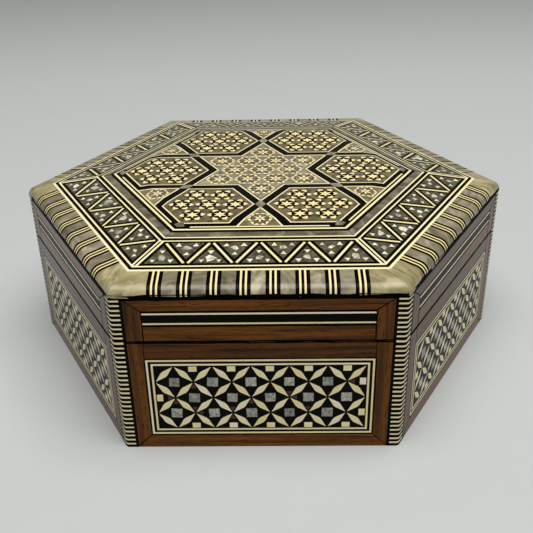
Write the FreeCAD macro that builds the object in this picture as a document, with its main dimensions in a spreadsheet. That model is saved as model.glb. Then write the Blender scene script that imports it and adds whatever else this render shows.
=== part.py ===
"""Hexagonal walnut box with a hinged, bevelled lid, faced with bone, ebony and mother-of-pearl inlay.

Frame: origin at the centre of the underside, +Z up, the front side facing -Y, millimetres.
The six sides are numbered from the front, going round towards +X.
"""
import FreeCAD, Part
import math
import os
import Sketcher
from FreeCAD import Placement, Rotation, Vector

SIDES = ["front", "front_right", "back_right", "back", "back_left", "front_left"]
BACK = SIDES.index("back")
COLUMNS = 11
ROWS = 4
STRIPE_BLOCKS = 8
OUTWARD_TRIANGLES = 5
EDGE_FACETS = 2
POST_FACETS = 2
KNUCKLE_FACETS = 12
TAN30 = math.tan(math.radians(30))
COS30 = math.cos(math.radians(30))

doc = FreeCAD.newDocument("inlaid_box")

# Driving dimensions

SIZES = [
    ("side", 100.0, "outer length of one side of the hexagon"),
    ("body_height", 46.5, "height of the body, up to the seam"),
    ("seam_gap", 0.3, "gap between body and lid when shut"),
    ("wall", 7.0, "thickness of the wall boards"),
    ("facing", 1.6, "thickness of the walnut and inlay on the sides"),
    ("relief", 0.3, "height of bone and pearl above the black mastic"),
    ("base_thick", 6.0, "thickness of the base board"),
    ("lining", 0.8, "thickness of the velvet lining"),
    ("lining_drop", 1.5, "bare wood above the wall lining"),
    ("joint_gap", 0.1, "dark glue line between pieces of one kind"),
    ("post_leg", 3.4, "width of a corner post on each side"),
    ("post_line", 1.0, "ebony line beside a corner post"),
    ("corner_round", 1.5, "radius of the rounded corner posts"),
    ("stile", 5.5, "width of the upright walnut on the body"),
    ("bottom_rail", 6.0, "height of the walnut below a panel"),
    ("top_rail", 7.1, "height of the walnut above a panel"),
    ("string_bone", 1.05, "width of a bone line round a panel"),
    ("string_ebony", 0.85, "ebony between those two lines"),
    ("petal_width", 2.6, "width of a bone petal"),
    ("petal_gap", 0.45, "gap from a petal's tip to its lattice point"),
    ("pearl_square", 4.0, "side of a pearl square in a panel"),
    ("chip_long", 2.9, "length of a bone chip at a panel's edge"),
    ("chip_deep", 2.3, "depth of a bone chip at a panel's edge"),
    ("lid_side", 17.4, "upright height of the lid's side"),
    ("lid_rim", 15.0, "height of the lid's rim boards"),
    ("lid_stile", 6.0, "width of the upright walnut on the lid"),
    ("lid_bottom_rail", 6.2, "height of the walnut below the lid's band"),
    ("lid_top_rail", 4.5, "height of the walnut above the lid's band"),
    ("lid_line", 1.1, "width of a bone line in the lid's band"),
    ("lid_line_margin", 0.75, "ebony outside such a line"),
    ("edge_line", 0.7, "ebony line under the crossband"),
    ("edge_round", 4.0, "radius of the lid's rounded edge"),
    ("edge_chamfer", 3.0, "chamfer of the lid board under that edge"),
    ("bevel_angle", 9.8, "slope of the lid's border in degrees"),
    ("flat", 47.0, "apothem of the lid's flat middle, inside the bevel"),
    ("top_inlay", 1.2, "thickness of the inlay on the lid"),
    ("field", 52.1, "apothem of the lid's central field"),
    ("inner_ebony", 0.95, "ebony of the inner stringing"),
    ("inner_bone", 1.4, "bone of the inner stringing"),
    ("pearl_band", 2.8, "width of the plain pearl band"),
    ("middle_bone", 0.85, "bone of the middle stringing"),
    ("middle_ebony", 0.85, "ebony of the middle stringing"),
    ("zigzag_band", 13.25, "width of the zigzag band"),
    ("zigzag_line", 1.0, "width of the zigzag's bone line"),
    ("mitre_bone", 0.8, "bone line at a mitre of the zigzag band"),
    ("mitre_ebony", 0.7, "ebony line at a mitre of the zigzag band"),
    ("outer_bone", 1.2, "bone of the outer stringing"),
    ("outer_ebony", 0.7, "ebony of the outer stringing"),
    ("crossband", 9.5025, "width of the crossband, seen from above"),
    ("stripe_pitch", 9.9, "spacing of the striped blocks of the crossband"),
    ("stripe_block", 4.6, "width of a striped block"),
    ("crossband_corner", 13.05, "length of a crossband corner along each side"),
    ("medallion_grow", 1.8, "reach of a medallion's frame past its own hexagon"),
    ("medallion_outer", 0.9, "outer bone line of a medallion"),
    ("medallion_border", 2.6, "ebony border of a medallion"),
    ("medallion_inner", 0.8, "inner bone line of a medallion"),
    ("hinge_offset", 24.0, "distance of each hinge from the middle of the back"),
    ("leaf_length", 24.0, "length of a hinge leaf along the pin"),
    ("leaf_depth", 6.0, "depth of a hinge leaf in the wood"),
    ("leaf_thick", 0.9, "thickness of a hinge leaf"),
    ("knuckle_radius", 1.8, "outer radius of a hinge knuckle"),
    ("knuckle_middle", 8.0, "length of the lid's knuckle"),
    ("knuckle_gap", 0.2, "side gap between knuckles"),
    ("pin_radius", 0.8, "radius of a hinge pin"),
    ("pin_play", 0.05, "radial play of a pin in its knuckles"),
    ("pin_head", 0.5, "length of a pin beyond its knuckles"),
    ("axis_out", 2.2, "distance of the hinge axis behind the back face"),
]

sheet = doc.addObject("Spreadsheet::Sheet", "sizes")
for row, (alias, value, meaning) in enumerate(SIZES, start=1):
    sheet.set("A%d" % row, alias)
    sheet.set("B%d" % row, str(value))
    sheet.set("C%d" % row, meaning)
    sheet.setAlias("B%d" % row, alias)
doc.recompute()


def size(alias):
    """One driving dimension, read back from the sheet."""
    return float(sheet.get(alias))


# Sizes that follow from the driving ones

apothem = size("side") * COS30
board_face = apothem - size("facing")
board_back = board_face - size("wall")
lid_base = size("body_height") + size("seam_gap")
lid_ceiling = lid_base + size("lid_rim")
edge_foot = lid_base + size("lid_side")
bevel = math.radians(size("bevel_angle"))
edge_tangent = size("edge_round") * math.tan((math.pi / 2 - bevel) / 2)

# The rings of the lid's border fill it from the field to the edge, in proportion to their widths

RINGS = ["inner_ebony", "inner_bone", "inner_ebony", "pearl_band", "middle_bone", "middle_ebony",
         "middle_bone", "zigzag_band", "outer_bone", "outer_ebony", "outer_bone", "crossband"]
ring_share = (apothem - size("field")) / sum(size(alias) for alias in RINGS)
ring_edges = [size("field")]
for alias in RINGS:
    ring_edges.append(ring_edges[-1] + size(alias) * ring_share)
inner_rings = ring_edges[0:4]
middle_rings = ring_edges[4:8]
outer_rings = ring_edges[8:12]
zigzag_in = middle_rings[-1]
zigzag_out = outer_rings[0]
zigzag_width = zigzag_out - zigzag_in
crossband_in = outer_rings[-1]
lid_top = edge_foot + edge_tangent + (apothem - size("flat")) * math.tan(bevel)
field_seat = lid_top - size("top_inlay")

APOTHEM = "sizes.side * sqrt(3) / 2"
BOARD_FACE = APOTHEM + " - sizes.facing"
BOARD_BACK = BOARD_FACE + " - sizes.wall"
LID_BASE = "sizes.body_height + sizes.seam_gap"
LID_CEILING = LID_BASE + " + sizes.lid_rim"


def bevel_height(distance):
    """Height of the lid's finished surface at an apothem on the bevel."""
    return lid_top - (distance - size("flat")) * math.tan(bevel)


# Building blocks

def origin_feature(body, role):
    return [item for item in body.Origin.OriginFeatures if item.Role == role][0]


def new_body(label, turn=0.0):
    """An empty body, turned about the box's axis by so many degrees."""
    body = doc.addObject("PartDesign::Body", label)
    body.Label = label
    body.Placement = Placement(Vector(0, 0, 0), Rotation(Vector(0, 0, 1), turn))
    return body


def new_sketch(body, role, lift=None, seat=None):
    """A sketch on one of the body's origin planes, lifted by an expression or moved to a seat."""
    sketch = body.newObject("Sketcher::SketchObject", body.Label + "_sketch")
    sketch.AttachmentSupport = [(origin_feature(body, role), "")]
    sketch.MapMode = "FlatFace"
    if seat:
        sketch.AttachmentOffset = seat
    if lift:
        sketch.setExpression("AttachmentOffset.Base.z", lift)
    return sketch


def draw(sketch, outline):
    """A closed outline of straight lines through the given points."""
    corners = [Vector(point[0], point[1], 0) for point in outline]
    first = sketch.GeometryCount
    count = len(corners)
    lines = [Part.LineSegment(corners[i], corners[(i + 1) % count]) for i in range(count)]
    sketch.addGeometry(lines, False)
    joins = [Sketcher.Constraint("Coincident", first + i, 2, first + (i + 1) % count, 1)
             for i in range(count)]
    sketch.addConstraint(joins)


def dimension(sketch, kind, *arguments):
    """A driving dimension whose value is bound to an expression, given last."""
    *where, value, expression = arguments
    index = sketch.addConstraint(Sketcher.Constraint(kind, *where, value))
    sketch.setExpression("Constraints[%d]" % index, expression)


def draw_hexagon(sketch, radius, expression):
    """A regular hexagon with corners on the X axis, held by a construction circle."""
    corners = [(radius * math.cos(math.radians(60 * k)), radius * math.sin(math.radians(60 * k)))
               for k in range(6)]
    draw(sketch, corners)
    circle = sketch.addGeometry(Part.Circle(Vector(0, 0, 0), Vector(0, 0, 1), radius), True)
    sketch.addConstraint(Sketcher.Constraint("Coincident", circle, 3, -1, 1))
    for k in range(6):
        sketch.addConstraint(Sketcher.Constraint("PointOnObject", k, 1, circle))
    for k in range(5):
        sketch.addConstraint(Sketcher.Constraint("Equal", k, k + 1))
    sketch.addConstraint(Sketcher.Constraint("PointOnObject", 0, 1, -1))
    dimension(sketch, "Radius", circle, radius, expression)


def draw_mitred_strip(sketch, face, face_expression, thick, thick_expression, trim=0.0):
    """Plan of a board along the front side, its ends cut to the mitres of the hexagon."""
    back = face - thick
    half_face = face * TAN30 - trim
    half_back = back * TAN30 - trim
    draw(sketch, [(-half_face, -face), (half_face, -face), (half_back, -back), (-half_back, -back)])
    for line in (0, 2):
        sketch.addConstraint(Sketcher.Constraint("Symmetric", line, 1, line, 2, -2))
    face_length = "2 * ((%s) / sqrt(3) - %s)" % (face_expression, trim)
    back_length = "2 * ((%s - %s) / sqrt(3) - %s)" % (face_expression, thick_expression, trim)
    dimension(sketch, "DistanceY", 0, 1, -1, 1, face, face_expression)
    dimension(sketch, "DistanceY", 0, 1, 2, 2, thick, thick_expression)
    dimension(sketch, "DistanceX", 0, 1, 0, 2, 2 * half_face, face_length)
    dimension(sketch, "DistanceX", 2, 2, 2, 1, 2 * half_back, back_length)


def pad(body, sketch, length, upright=False):
    """Thickness for a sketch, along its normal or straight up."""
    feature = body.newObject("PartDesign::Pad", body.Label + "_pad")
    feature.Profile = sketch
    if upright:
        feature.UseCustomVector = True
        feature.AlongSketchNormal = False
        feature.Direction = Vector(0, 0, 1)
    feature.setExpression("Length", length)
    body.Tip = feature
    return feature


def six_round(body, features):
    """Repeats features on all six sides."""
    pattern = body.newObject("PartDesign::PolarPattern", body.Label + "_round")
    pattern.Originals = features
    pattern.Axis = (origin_feature(body, "Z_Axis"), [""])
    pattern.Angle = 360
    pattern.Occurrences = 6
    body.Tip = pattern
    return pattern


def side_layer(label, outlines, seat, thick):
    """Flat pieces on the front side, seated at an apothem, repeated on all six sides.

    An outline's points are x along the side and height.
    """
    body = new_body(label)
    sketch = new_sketch(body, "XZ_Plane", seat)
    for outline in outlines:
        draw(sketch, outline)
    six_round(body, [pad(body, sketch, thick)])
    return body


def bevel_layer(label, outlines):
    """Flat pieces on the lid's bevel at the front, repeated on all six sides.

    An outline's points are x along the side and apothem.
    """
    body = new_body(label)
    seat = Placement(Vector(0, -size("flat"), field_seat), Rotation(Vector(1, 0, 0), size("bevel_angle")))
    sketch = new_sketch(body, "XY_Plane", None, seat)
    for outline in outlines:
        draw(sketch, [(x, (size("flat") - distance) / math.cos(bevel)) for x, distance in outline])
    six_round(body, [pad(body, sketch, "sizes.top_inlay", True)])
    return body


def rectangle(left, bottom, right, top):
    return [(left, bottom), (right, bottom), (right, top), (left, top)]


def turned(shape, degrees):
    copy = shape.copy()
    copy.rotate(Vector(0, 0, 0), Vector(0, 0, 1), degrees)
    return copy


def six_copies(label, shape):
    """A group of six equal solids round the box's axis."""
    group = doc.addObject("Part::Feature", label)
    group.Label = label
    group.Shape = Part.makeCompound([turned(solid, 60 * k) for k in range(6) for solid in shape.Solids])
    group.Placement = Placement()
    return group


def ring_segment(inner, outer, gap):
    """Outline of one mitred piece of a hexagonal ring, as x and apothem."""
    trim = gap / (2 * COS30)
    return [(-(outer * TAN30 - trim), outer), (outer * TAN30 - trim, outer),
            (inner * TAN30 - trim, inner), (-(inner * TAN30 - trim), inner)]


def cut_mortises(body, height, upward):
    """Two shallow seats for the hinge leaves at the back edge of a body's top or bottom face."""
    before = body.Tip
    sketch = new_sketch(body, "XY_Plane", height)
    turn = body.Placement.Rotation.inverted()
    for middle in (-size("hinge_offset"), size("hinge_offset")):
        half = size("leaf_length") / 2 + size("joint_gap")
        seat = rectangle(middle - half, apothem - size("leaf_depth") - size("joint_gap"),
                         middle + half, apothem + size("axis_out"))
        corners = [turn.multVec(Vector(x, y, 0)) for x, y in seat]
        draw(sketch, [(corner.x, corner.y) for corner in corners])
    doc.recompute()
    volume = before.Shape.Volume
    pocket = body.newObject("PartDesign::Pocket", body.Label + "_mortise")
    pocket.Profile = sketch
    pocket.Reversed = upward
    pocket.setExpression("Length", "sizes.leaf_thick")
    body.Tip = pocket
    doc.recompute()
    if pocket.Shape.Volume > volume - 1.0:
        raise RuntimeError("hinge seats not cut in " + body.Label)


parts = []

# Carcass of the body

base_board = new_body("base_board")
base_sketch = new_sketch(base_board, "XY_Plane")
draw_hexagon(base_sketch, board_back / COS30, "(%s) * 2 / sqrt(3)" % BOARD_BACK)
pad(base_board, base_sketch, "sizes.base_thick")
parts.append(base_board)


def board(label, turn, height, length):
    """One mitred board of the body's wall or the lid's rim."""
    body = new_body(label, turn)
    sketch = new_sketch(body, "XY_Plane", height)
    draw_mitred_strip(sketch, board_face, BOARD_FACE, size("wall"), "sizes.wall")
    pad(body, sketch, length)
    parts.append(body)
    return body


walls = [board(name + "_wall", 60 * k, None, "sizes.body_height") for k, name in enumerate(SIDES)]
cut_mortises(walls[BACK], "sizes.body_height", False)

# Walnut facing of the body: uprights, mitred bottom rails and butted top rails

half_side = size("side") / 2
line_in = half_side - size("post_leg") - size("post_line")
stile_in = line_in - size("stile")
panel_bottom = size("bottom_rail")
panel_top = size("body_height") - size("top_rail")

stile_outline = [(line_in, 0), (line_in, size("body_height")), (stile_in, size("body_height")),
                 (stile_in, panel_bottom)]
parts.append(side_layer("body_stiles", [stile_outline, [(-x, z) for x, z in stile_outline]],
                        BOARD_FACE, "sizes.facing"))
parts.append(side_layer("body_bottom_rails", [[(-line_in, 0), (line_in, 0), (stile_in, panel_bottom),
                                               (-stile_in, panel_bottom)]], BOARD_FACE, "sizes.facing"))
body_top_rails = side_layer("body_top_rails",
                            [rectangle(-stile_in, panel_top, stile_in, size("body_height"))],
                            BOARD_FACE, "sizes.facing")
cut_mortises(body_top_rails, "sizes.body_height", False)
parts.append(body_top_rails)

# Lattice panels: black mastic ground, two bone lines, petals, pearl squares and bone chips

MASTIC = "sizes.facing - sizes.relief"
MASTIC_FACE = APOTHEM + " - sizes.relief"
parts.append(side_layer("panel_grounds", [rectangle(-stile_in, panel_bottom, stile_in, panel_top)],
                        BOARD_FACE, MASTIC))


def panel_frame(inset):
    """Rectangle at an inset from the panel's edge."""
    return rectangle(-stile_in + inset, panel_bottom + inset, stile_in - inset, panel_top - inset)


inner_line = size("string_bone") + size("string_ebony")
lattice_inset = inner_line + size("string_bone")
parts.append(side_layer("panel_outer_lines", [panel_frame(0), panel_frame(size("string_bone"))],
                        MASTIC_FACE, "sizes.relief"))
parts.append(side_layer("panel_inner_lines", [panel_frame(inner_line), panel_frame(lattice_inset)],
                        MASTIC_FACE, "sizes.relief"))

lattice_left = -stile_in + lattice_inset
lattice_bottom = panel_bottom + lattice_inset
cell_width = -2 * lattice_left / COLUMNS
cell_height = (panel_top - lattice_inset - lattice_bottom) / ROWS


def lattice_point(column, row):
    return (lattice_left + column * cell_width, lattice_bottom + row * cell_height)


def petal(column, row):
    """Slim rhombus on the diagonal of one lattice cell, joining its two lattice points."""
    rising = (column + row) % 2 == 1
    start = Vector(*lattice_point(column, row if rising else row + 1), 0)
    end = Vector(*lattice_point(column + 1, row + 1 if rising else row), 0)
    along = (end - start).normalize()
    across = Vector(-along.y, along.x, 0) * (size("petal_width") / 2)
    middle = (start + end) * 0.5
    tips = [start + along * size("petal_gap"), middle - across,
            end - along * size("petal_gap"), middle + across]
    return [(tip.x, tip.y) for tip in tips]


def box_round(centre, width, height):
    x, z = centre
    return rectangle(x - width / 2, z - height / 2, x + width / 2, z + height / 2)


def edge_chip(column, row):
    """Bone chip in a half cell, resting against the panel's inner line."""
    x, z = lattice_point(column, row)
    long_half = size("chip_long") / 2
    deep = size("chip_deep")
    gap = size("joint_gap")
    if row == 0:
        return rectangle(x - long_half, z + gap, x + long_half, z + deep)
    if row == ROWS:
        return rectangle(x - long_half, z - deep, x + long_half, z - gap)
    if column == 0:
        return rectangle(x + gap, z - long_half, x + deep, z + long_half)
    return rectangle(x - deep, z - long_half, x - gap, z + long_half)


petals = [petal(column, row) for column in range(COLUMNS) for row in range(ROWS)]
centres = [(column, row) for column in range(COLUMNS + 1) for row in range(ROWS + 1)
           if (column + row) % 2 == 0]
inside = [(column, row) for column, row in centres if 0 < column < COLUMNS and 0 < row < ROWS]
on_edge = [(column, row) for column, row in centres
           if (column in (0, COLUMNS)) != (row in (0, ROWS))]
pearl_squares = [box_round(lattice_point(*place), size("pearl_square"), size("pearl_square"))
                 for place in inside]
edge_chips = [edge_chip(*place) for place in on_edge]
parts.append(side_layer("panel_petals", petals, MASTIC_FACE, "sizes.relief"))
parts.append(side_layer("panel_pearl_squares", pearl_squares, MASTIC_FACE, "sizes.relief"))
parts.append(side_layer("panel_bone_chips", edge_chips, MASTIC_FACE, "sizes.relief"))

# Corner posts and the ebony lines beside them


def corner_post(label, bottom, top):
    """Bent strip round each corner, its outer edge rounded."""
    corner = Vector(size("side"), 0, bottom)
    inner = Vector(board_face / COS30, 0, bottom)
    along = Vector(-0.5, COS30, 0)
    normal = Vector(COS30, 0.5, 0)
    leg_end = corner + along * size("post_leg")
    leg_back = leg_end - normal * size("facing")
    centre = corner - Vector(size("corner_round") / COS30, 0, 0)

    def mirrored(point):
        return Vector(point.x, -point.y, point.z)

    turns = [math.radians(30 - 60 * step / POST_FACETS) for step in range(POST_FACETS + 1)]
    rounding = [centre + Vector(math.cos(turn), math.sin(turn), 0) * size("corner_round") for turn in turns]
    outline = [leg_end] + rounding + [mirrored(leg_end), mirrored(leg_back), inner, leg_back, leg_end]
    section = Part.Face(Part.makePolygon(outline))
    return six_copies(label, section.extrude(Vector(0, 0, top - bottom)))


def post_lines(label, bottom, top):
    line_out = half_side - size("post_leg")
    strips = [rectangle(line_in, bottom, line_out, top), rectangle(-line_out, bottom, -line_in, top)]
    return side_layer(label, strips, BOARD_FACE, "sizes.facing")


lid_walnut_top = edge_foot - size("edge_line")
parts.append(corner_post("body_corner_posts", 0, size("body_height")))
parts.append(post_lines("body_post_lines", 0, size("body_height")))
parts.append(corner_post("lid_corner_posts", lid_base, lid_walnut_top))
parts.append(post_lines("lid_post_lines", lid_base, lid_walnut_top))

# Lid carcass: six rim boards and a bevelled top board

rims = [board("lid_" + name + "_rim", 60 * k, LID_BASE, "sizes.lid_rim") for k, name in enumerate(SIDES)]
cut_mortises(rims[BACK], LID_BASE, True)

chamfer_top = board_face - size("edge_chamfer")
chamfer_height = bevel_height(chamfer_top) - size("top_inlay")
levels = [(lid_ceiling, board_face, BOARD_FACE), (edge_foot, board_face, BOARD_FACE),
          (chamfer_height, chamfer_top, BOARD_FACE + " - sizes.edge_chamfer"),
          (field_seat, size("flat"), "sizes.flat")]
sections = []
for number, (level, width, expression) in enumerate(levels):
    section = doc.addObject("Sketcher::SketchObject", "lid_board_section_%d" % number)
    section.Placement = Placement(Vector(0, 0, level), Rotation())
    draw_hexagon(section, width / COS30, "(%s) * 2 / sqrt(3)" % expression)
    sections.append(section)
lid_board = doc.addObject("Part::Loft", "lid_board")
lid_board.Sections = sections
lid_board.Solid = True
lid_board.Ruled = True
lid_board.Linearize = True
parts.append(lid_board)

# Walnut facing of the lid and the black band with two bone lines in it

lid_stile_in = line_in - size("lid_stile")
band_bottom = lid_base + size("lid_bottom_rail")
band_top = lid_walnut_top - size("lid_top_rail")
lid_stile_outline = [(line_in, lid_base), (line_in, lid_walnut_top), (lid_stile_in, band_top),
                     (lid_stile_in, lid_base)]
parts.append(side_layer("lid_stiles", [lid_stile_outline, [(-x, z) for x, z in lid_stile_outline]],
                        BOARD_FACE, "sizes.facing"))
parts.append(side_layer("lid_top_rails", [[(-line_in, lid_walnut_top), (line_in, lid_walnut_top),
                                           (lid_stile_in, band_top), (-lid_stile_in, band_top)]],
                        BOARD_FACE, "sizes.facing"))
lid_bottom_rails = side_layer("lid_bottom_rails",
                              [rectangle(-lid_stile_in, lid_base, lid_stile_in, band_bottom)],
                              BOARD_FACE, "sizes.facing")
cut_mortises(lid_bottom_rails, LID_BASE, True)
parts.append(lid_bottom_rails)

low_line = band_bottom + size("lid_line_margin")
high_line = band_top - size("lid_line_margin")
parts.append(side_layer("lid_side_bands", [rectangle(-lid_stile_in, band_bottom, lid_stile_in, band_top)],
                        BOARD_FACE, MASTIC))
parts.append(side_layer("lid_side_lines",
                        [rectangle(-lid_stile_in, low_line, lid_stile_in, low_line + size("lid_line")),
                         rectangle(-lid_stile_in, high_line - size("lid_line"), lid_stile_in, high_line)],
                        MASTIC_FACE, "sizes.relief"))

# Rounded edge of the lid: ebony line, pearl tiles, striped blocks and corner pieces

edge_lines = new_body("lid_edge_lines")
edge_sketch = new_sketch(edge_lines, "XY_Plane", LID_BASE + " + sizes.lid_side - sizes.edge_line")
draw_mitred_strip(edge_sketch, apothem, APOTHEM, size("facing"), "sizes.facing", size("joint_gap"))
six_round(edge_lines, [pad(edge_lines, edge_sketch, "sizes.edge_line")])
parts.append(edge_lines)


def crossband_section(x):
    """Section of the crossband at one place along the front side: bevel, round edge and seat."""
    radius = size("edge_round")
    centre = Vector(x, radius - apothem, edge_foot)
    steepest = math.pi / 2 - bevel
    turns = [steepest * (1 - step / EDGE_FACETS) for step in range(EDGE_FACETS + 1)]
    rounding = [centre + Vector(0, -radius * math.cos(turn), radius * math.sin(turn)) for turn in turns]
    inner_top = Vector(x, -crossband_in, bevel_height(crossband_in))
    inner_seat = inner_top - Vector(0, 0, size("top_inlay"))
    seat = [Vector(x, -board_face, edge_foot), Vector(x, -chamfer_top, chamfer_height), inner_seat]
    return Part.Face(Part.makePolygon([inner_top] + rounding + seat + [inner_top]))


def crossband_piece(left, right):
    return crossband_section(left).extrude(Vector(right - left, 0, 0))


# Blocks, tiles and corners fill the side, in proportion to their lengths

tile_count = STRIPE_BLOCKS - 1
half_run = size("stripe_pitch") * tile_count / 2 + size("stripe_block") / 2 + size("crossband_corner")
side_share = size("side") / 2 / half_run
stripe_pitch = size("stripe_pitch") * side_share
stripe_block = size("stripe_block") * side_share
tile_width = stripe_pitch - stripe_block
tile_middles = [(i - (tile_count - 1) / 2) * stripe_pitch for i in range(tile_count)]
block_middles = [(i - (STRIPE_BLOCKS - 1) / 2) * stripe_pitch for i in range(STRIPE_BLOCKS)]
tiles = [crossband_piece(middle - tile_width / 2, middle + tile_width / 2) for middle in tile_middles]
blocks = [crossband_piece(middle - stripe_block / 2, middle + stripe_block / 2)
          for middle in block_middles]
parts.append(six_copies("crossband_pearl_tiles", Part.makeCompound(tiles)))
parts.append(six_copies("crossband_stripe_blocks", Part.makeCompound(blocks)))

corner_start = block_middles[-1] + stripe_block / 2
wedge = Part.Face(Part.makePolygon([Vector(0, 0, 0), Vector(-size("side"), -size("side") / TAN30, 0),
                                    Vector(size("side"), -size("side") / TAN30, 0), Vector(0, 0, 0)]))
half_corner = crossband_piece(corner_start, size("side")).common(wedge.extrude(Vector(0, 0, lid_top)))
other_half = turned(half_corner.mirror(Vector(0, 0, 0), Vector(1, 0, 0)), 60)
parts.append(six_copies("crossband_corners", half_corner.fuse(other_half).removeSplitter()))

# Stringing and pearl rings on the bevel, mitred at the corners


def bevel_rings(label, spans):
    return bevel_layer(label, [ring_segment(inner, outer, size("joint_gap")) for inner, outer in spans])


parts.append(bevel_rings("bevel_bone_stringing", [outer_rings[0:2], outer_rings[2:4],
                                                  middle_rings[0:2], middle_rings[2:4]]))
parts.append(bevel_rings("bevel_ebony_stringing", [outer_rings[1:3], middle_rings[1:3]]))
parts.append(bevel_rings("pearl_band", [(inner_rings[-1], middle_rings[0])]))
parts.append(bevel_rings("inner_stringing_bone", [inner_rings[1:3]]))
parts.append(bevel_rings("inner_stringing_ebony", [inner_rings[0:2], inner_rings[2:4]]))

# Zigzag band: one bone zigzag a side, dark triangles on both sides of it, lines at the mitres

mitre_half = (size("mitre_bone") + size("mitre_ebony") / 2) / COS30


def mitre_x(distance, back_off):
    """x on the front side's right mitre at an apothem, moved inwards along the side."""
    return distance * TAN30 - back_off


zigzag_pitch = mitre_x(zigzag_out, mitre_half) / (OUTWARD_TRIANGLES / 2)
slope_length = math.hypot(zigzag_pitch / 2, zigzag_width)
line_half = size("zigzag_line") / 2 * slope_length / zigzag_width
line_tip = line_half * zigzag_width / (zigzag_pitch / 2)
zigzag_pitch = min(zigzag_pitch, (mitre_x(zigzag_in, mitre_half) - line_half) / (OUTWARD_TRIANGLES // 2))
inner_points = [(i - OUTWARD_TRIANGLES // 2) * zigzag_pitch for i in range(OUTWARD_TRIANGLES)]
outer_points = [x + zigzag_pitch / 2 for x in inner_points[:-1]]

far_chain = [(inner_points[0] - line_half, zigzag_in)]
near_chain = [(inner_points[0] + line_half, zigzag_in)]
for inner_x, outer_x in zip(inner_points[1:], outer_points):
    far_chain += [(outer_x - line_half, zigzag_out), (outer_x + line_half, zigzag_out)]
    near_chain += [(outer_x, zigzag_out - line_tip)]
    if inner_x != inner_points[-1]:
        far_chain += [(inner_x, zigzag_in + line_tip)]
        near_chain += [(inner_x - line_half, zigzag_in), (inner_x + line_half, zigzag_in)]
far_chain += [(inner_points[-1] + line_half, zigzag_in)]
near_chain += [(inner_points[-1] - line_half, zigzag_in)]
parts.append(bevel_layer("zigzag_lines", [far_chain + near_chain[::-1]]))

zigzag_triangles = []
for left, right, tip in zip(outer_points[:-1], outer_points[1:], inner_points[1:-1]):
    zigzag_triangles.append([(left + line_half, zigzag_out), (right - line_half, zigzag_out),
                             (tip, zigzag_in + line_tip)])
for left, right, tip in zip(inner_points[:-1], inner_points[1:], outer_points):
    zigzag_triangles.append([(left + line_half, zigzag_in), (right - line_half, zigzag_in),
                             (tip, zigzag_out - line_tip)])
end_triangle = [(outer_points[-1] + line_half, zigzag_out), (mitre_x(zigzag_out, mitre_half), zigzag_out),
                (inner_points[-1] + line_half, zigzag_in)]
zigzag_triangles.append(end_triangle)
zigzag_triangles.append([(-x, distance) for x, distance in end_triangle])
parts.append(bevel_layer("zigzag_triangles", zigzag_triangles))


def mitre_strip(outer_off, inner_off):
    """Line along the right mitre of the zigzag band, between two distances from it."""
    return [(mitre_x(zigzag_in, inner_off), zigzag_in), (mitre_x(zigzag_out, inner_off), zigzag_out),
            (mitre_x(zigzag_out, outer_off), zigzag_out), (mitre_x(zigzag_in, outer_off), zigzag_in)]


def both_ends(outline):
    return [outline, [(-x, distance) for x, distance in outline]]


ebony_half = size("mitre_ebony") / 2 / COS30
hair = size("joint_gap") / 2
parts.append(bevel_layer("mitre_bone_lines", both_ends(mitre_strip(ebony_half, mitre_half))))
parts.append(bevel_layer("mitre_ebony_lines", both_ends(mitre_strip(hair, ebony_half))))

# Central field, flat but for its bevelled rim: six medallions, pearl rhombi, the star and six triangles

medallion_side = size("field") / COS30 / 3
medallion_place = Vector(2 * medallion_side, 0, 0)
own_apothem = medallion_side * COS30
reach = own_apothem + size("medallion_grow")
medallion_steps = [reach]
for alias in ("medallion_outer", "medallion_border", "medallion_inner"):
    medallion_steps.append(medallion_steps[-1] - size(alias))


def hexagon_wire(centre, wire_apothem):
    """Outline of a hexagon whose corners point along X."""
    radius = wire_apothem / COS30
    return Part.makePolygon([centre + Vector(radius * math.cos(math.radians(60 * k)),
                                             radius * math.sin(math.radians(60 * k)), 0) for k in range(7)])


def upright(wire):
    """Solid of a plan outline from the ground to the lid's top."""
    return Part.Face(wire).extrude(Vector(0, 0, lid_top))


def crown(drop):
    """Solid below the lid's surface, or a surface parallel to it."""
    plans = [(0, apothem), (bevel_height(apothem) - drop, apothem), (lid_top - drop, size("flat"))]
    wires = [hexagon_wire(Vector(0, 0, level), plan) for level, plan in plans]
    faces = [Part.Face(wires[0]), Part.Face(wires[-1])]
    for below, above in zip(wires[:-1], wires[1:]):
        for lower, upper in zip(below.Edges, above.Edges):
            corners = [lower.firstVertex(), lower.lastVertex(), upper.lastVertex(), upper.firstVertex()]
            points = [corner.Point for corner in corners]
            faces.append(Part.Face(Part.makePolygon(points + points[:1])))
    return Part.makeSolid(Part.makeShell(faces))


field_prism = upright(hexagon_wire(Vector(0, 0, 0), size("field")))
field_layer = field_prism.common(crown(0).cut(crown(size("top_inlay"))))
frames = [upright(hexagon_wire(medallion_place, step)) for step in medallion_steps]
neighbours = [turned(frames[0], 60), turned(frames[0], -60)]
field_corner = Vector(3 * medallion_side, 0, 0)
corner_wide = Vector(0, 2 * size("medallion_grow"), 0)
corner_long = Vector(2 * size("medallion_grow") / COS30, 0, 0)
corner_rhombus = upright(Part.makePolygon([field_corner - corner_long, field_corner - corner_wide,
                                           field_corner + corner_long, field_corner + corner_wide,
                                           field_corner - corner_long]))
junctions = [frames[0].common(neighbour) for neighbour in neighbours]
rhombi = Part.makeCompound(junctions + [corner_rhombus])


def in_field(shape):
    return shape.common(field_layer)


def medallion_ring(outer, inner):
    """One line of a medallion's frame, within the field and clear of the rhombi."""
    return in_field(outer.cut(inner).cut(rhombi))


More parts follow.
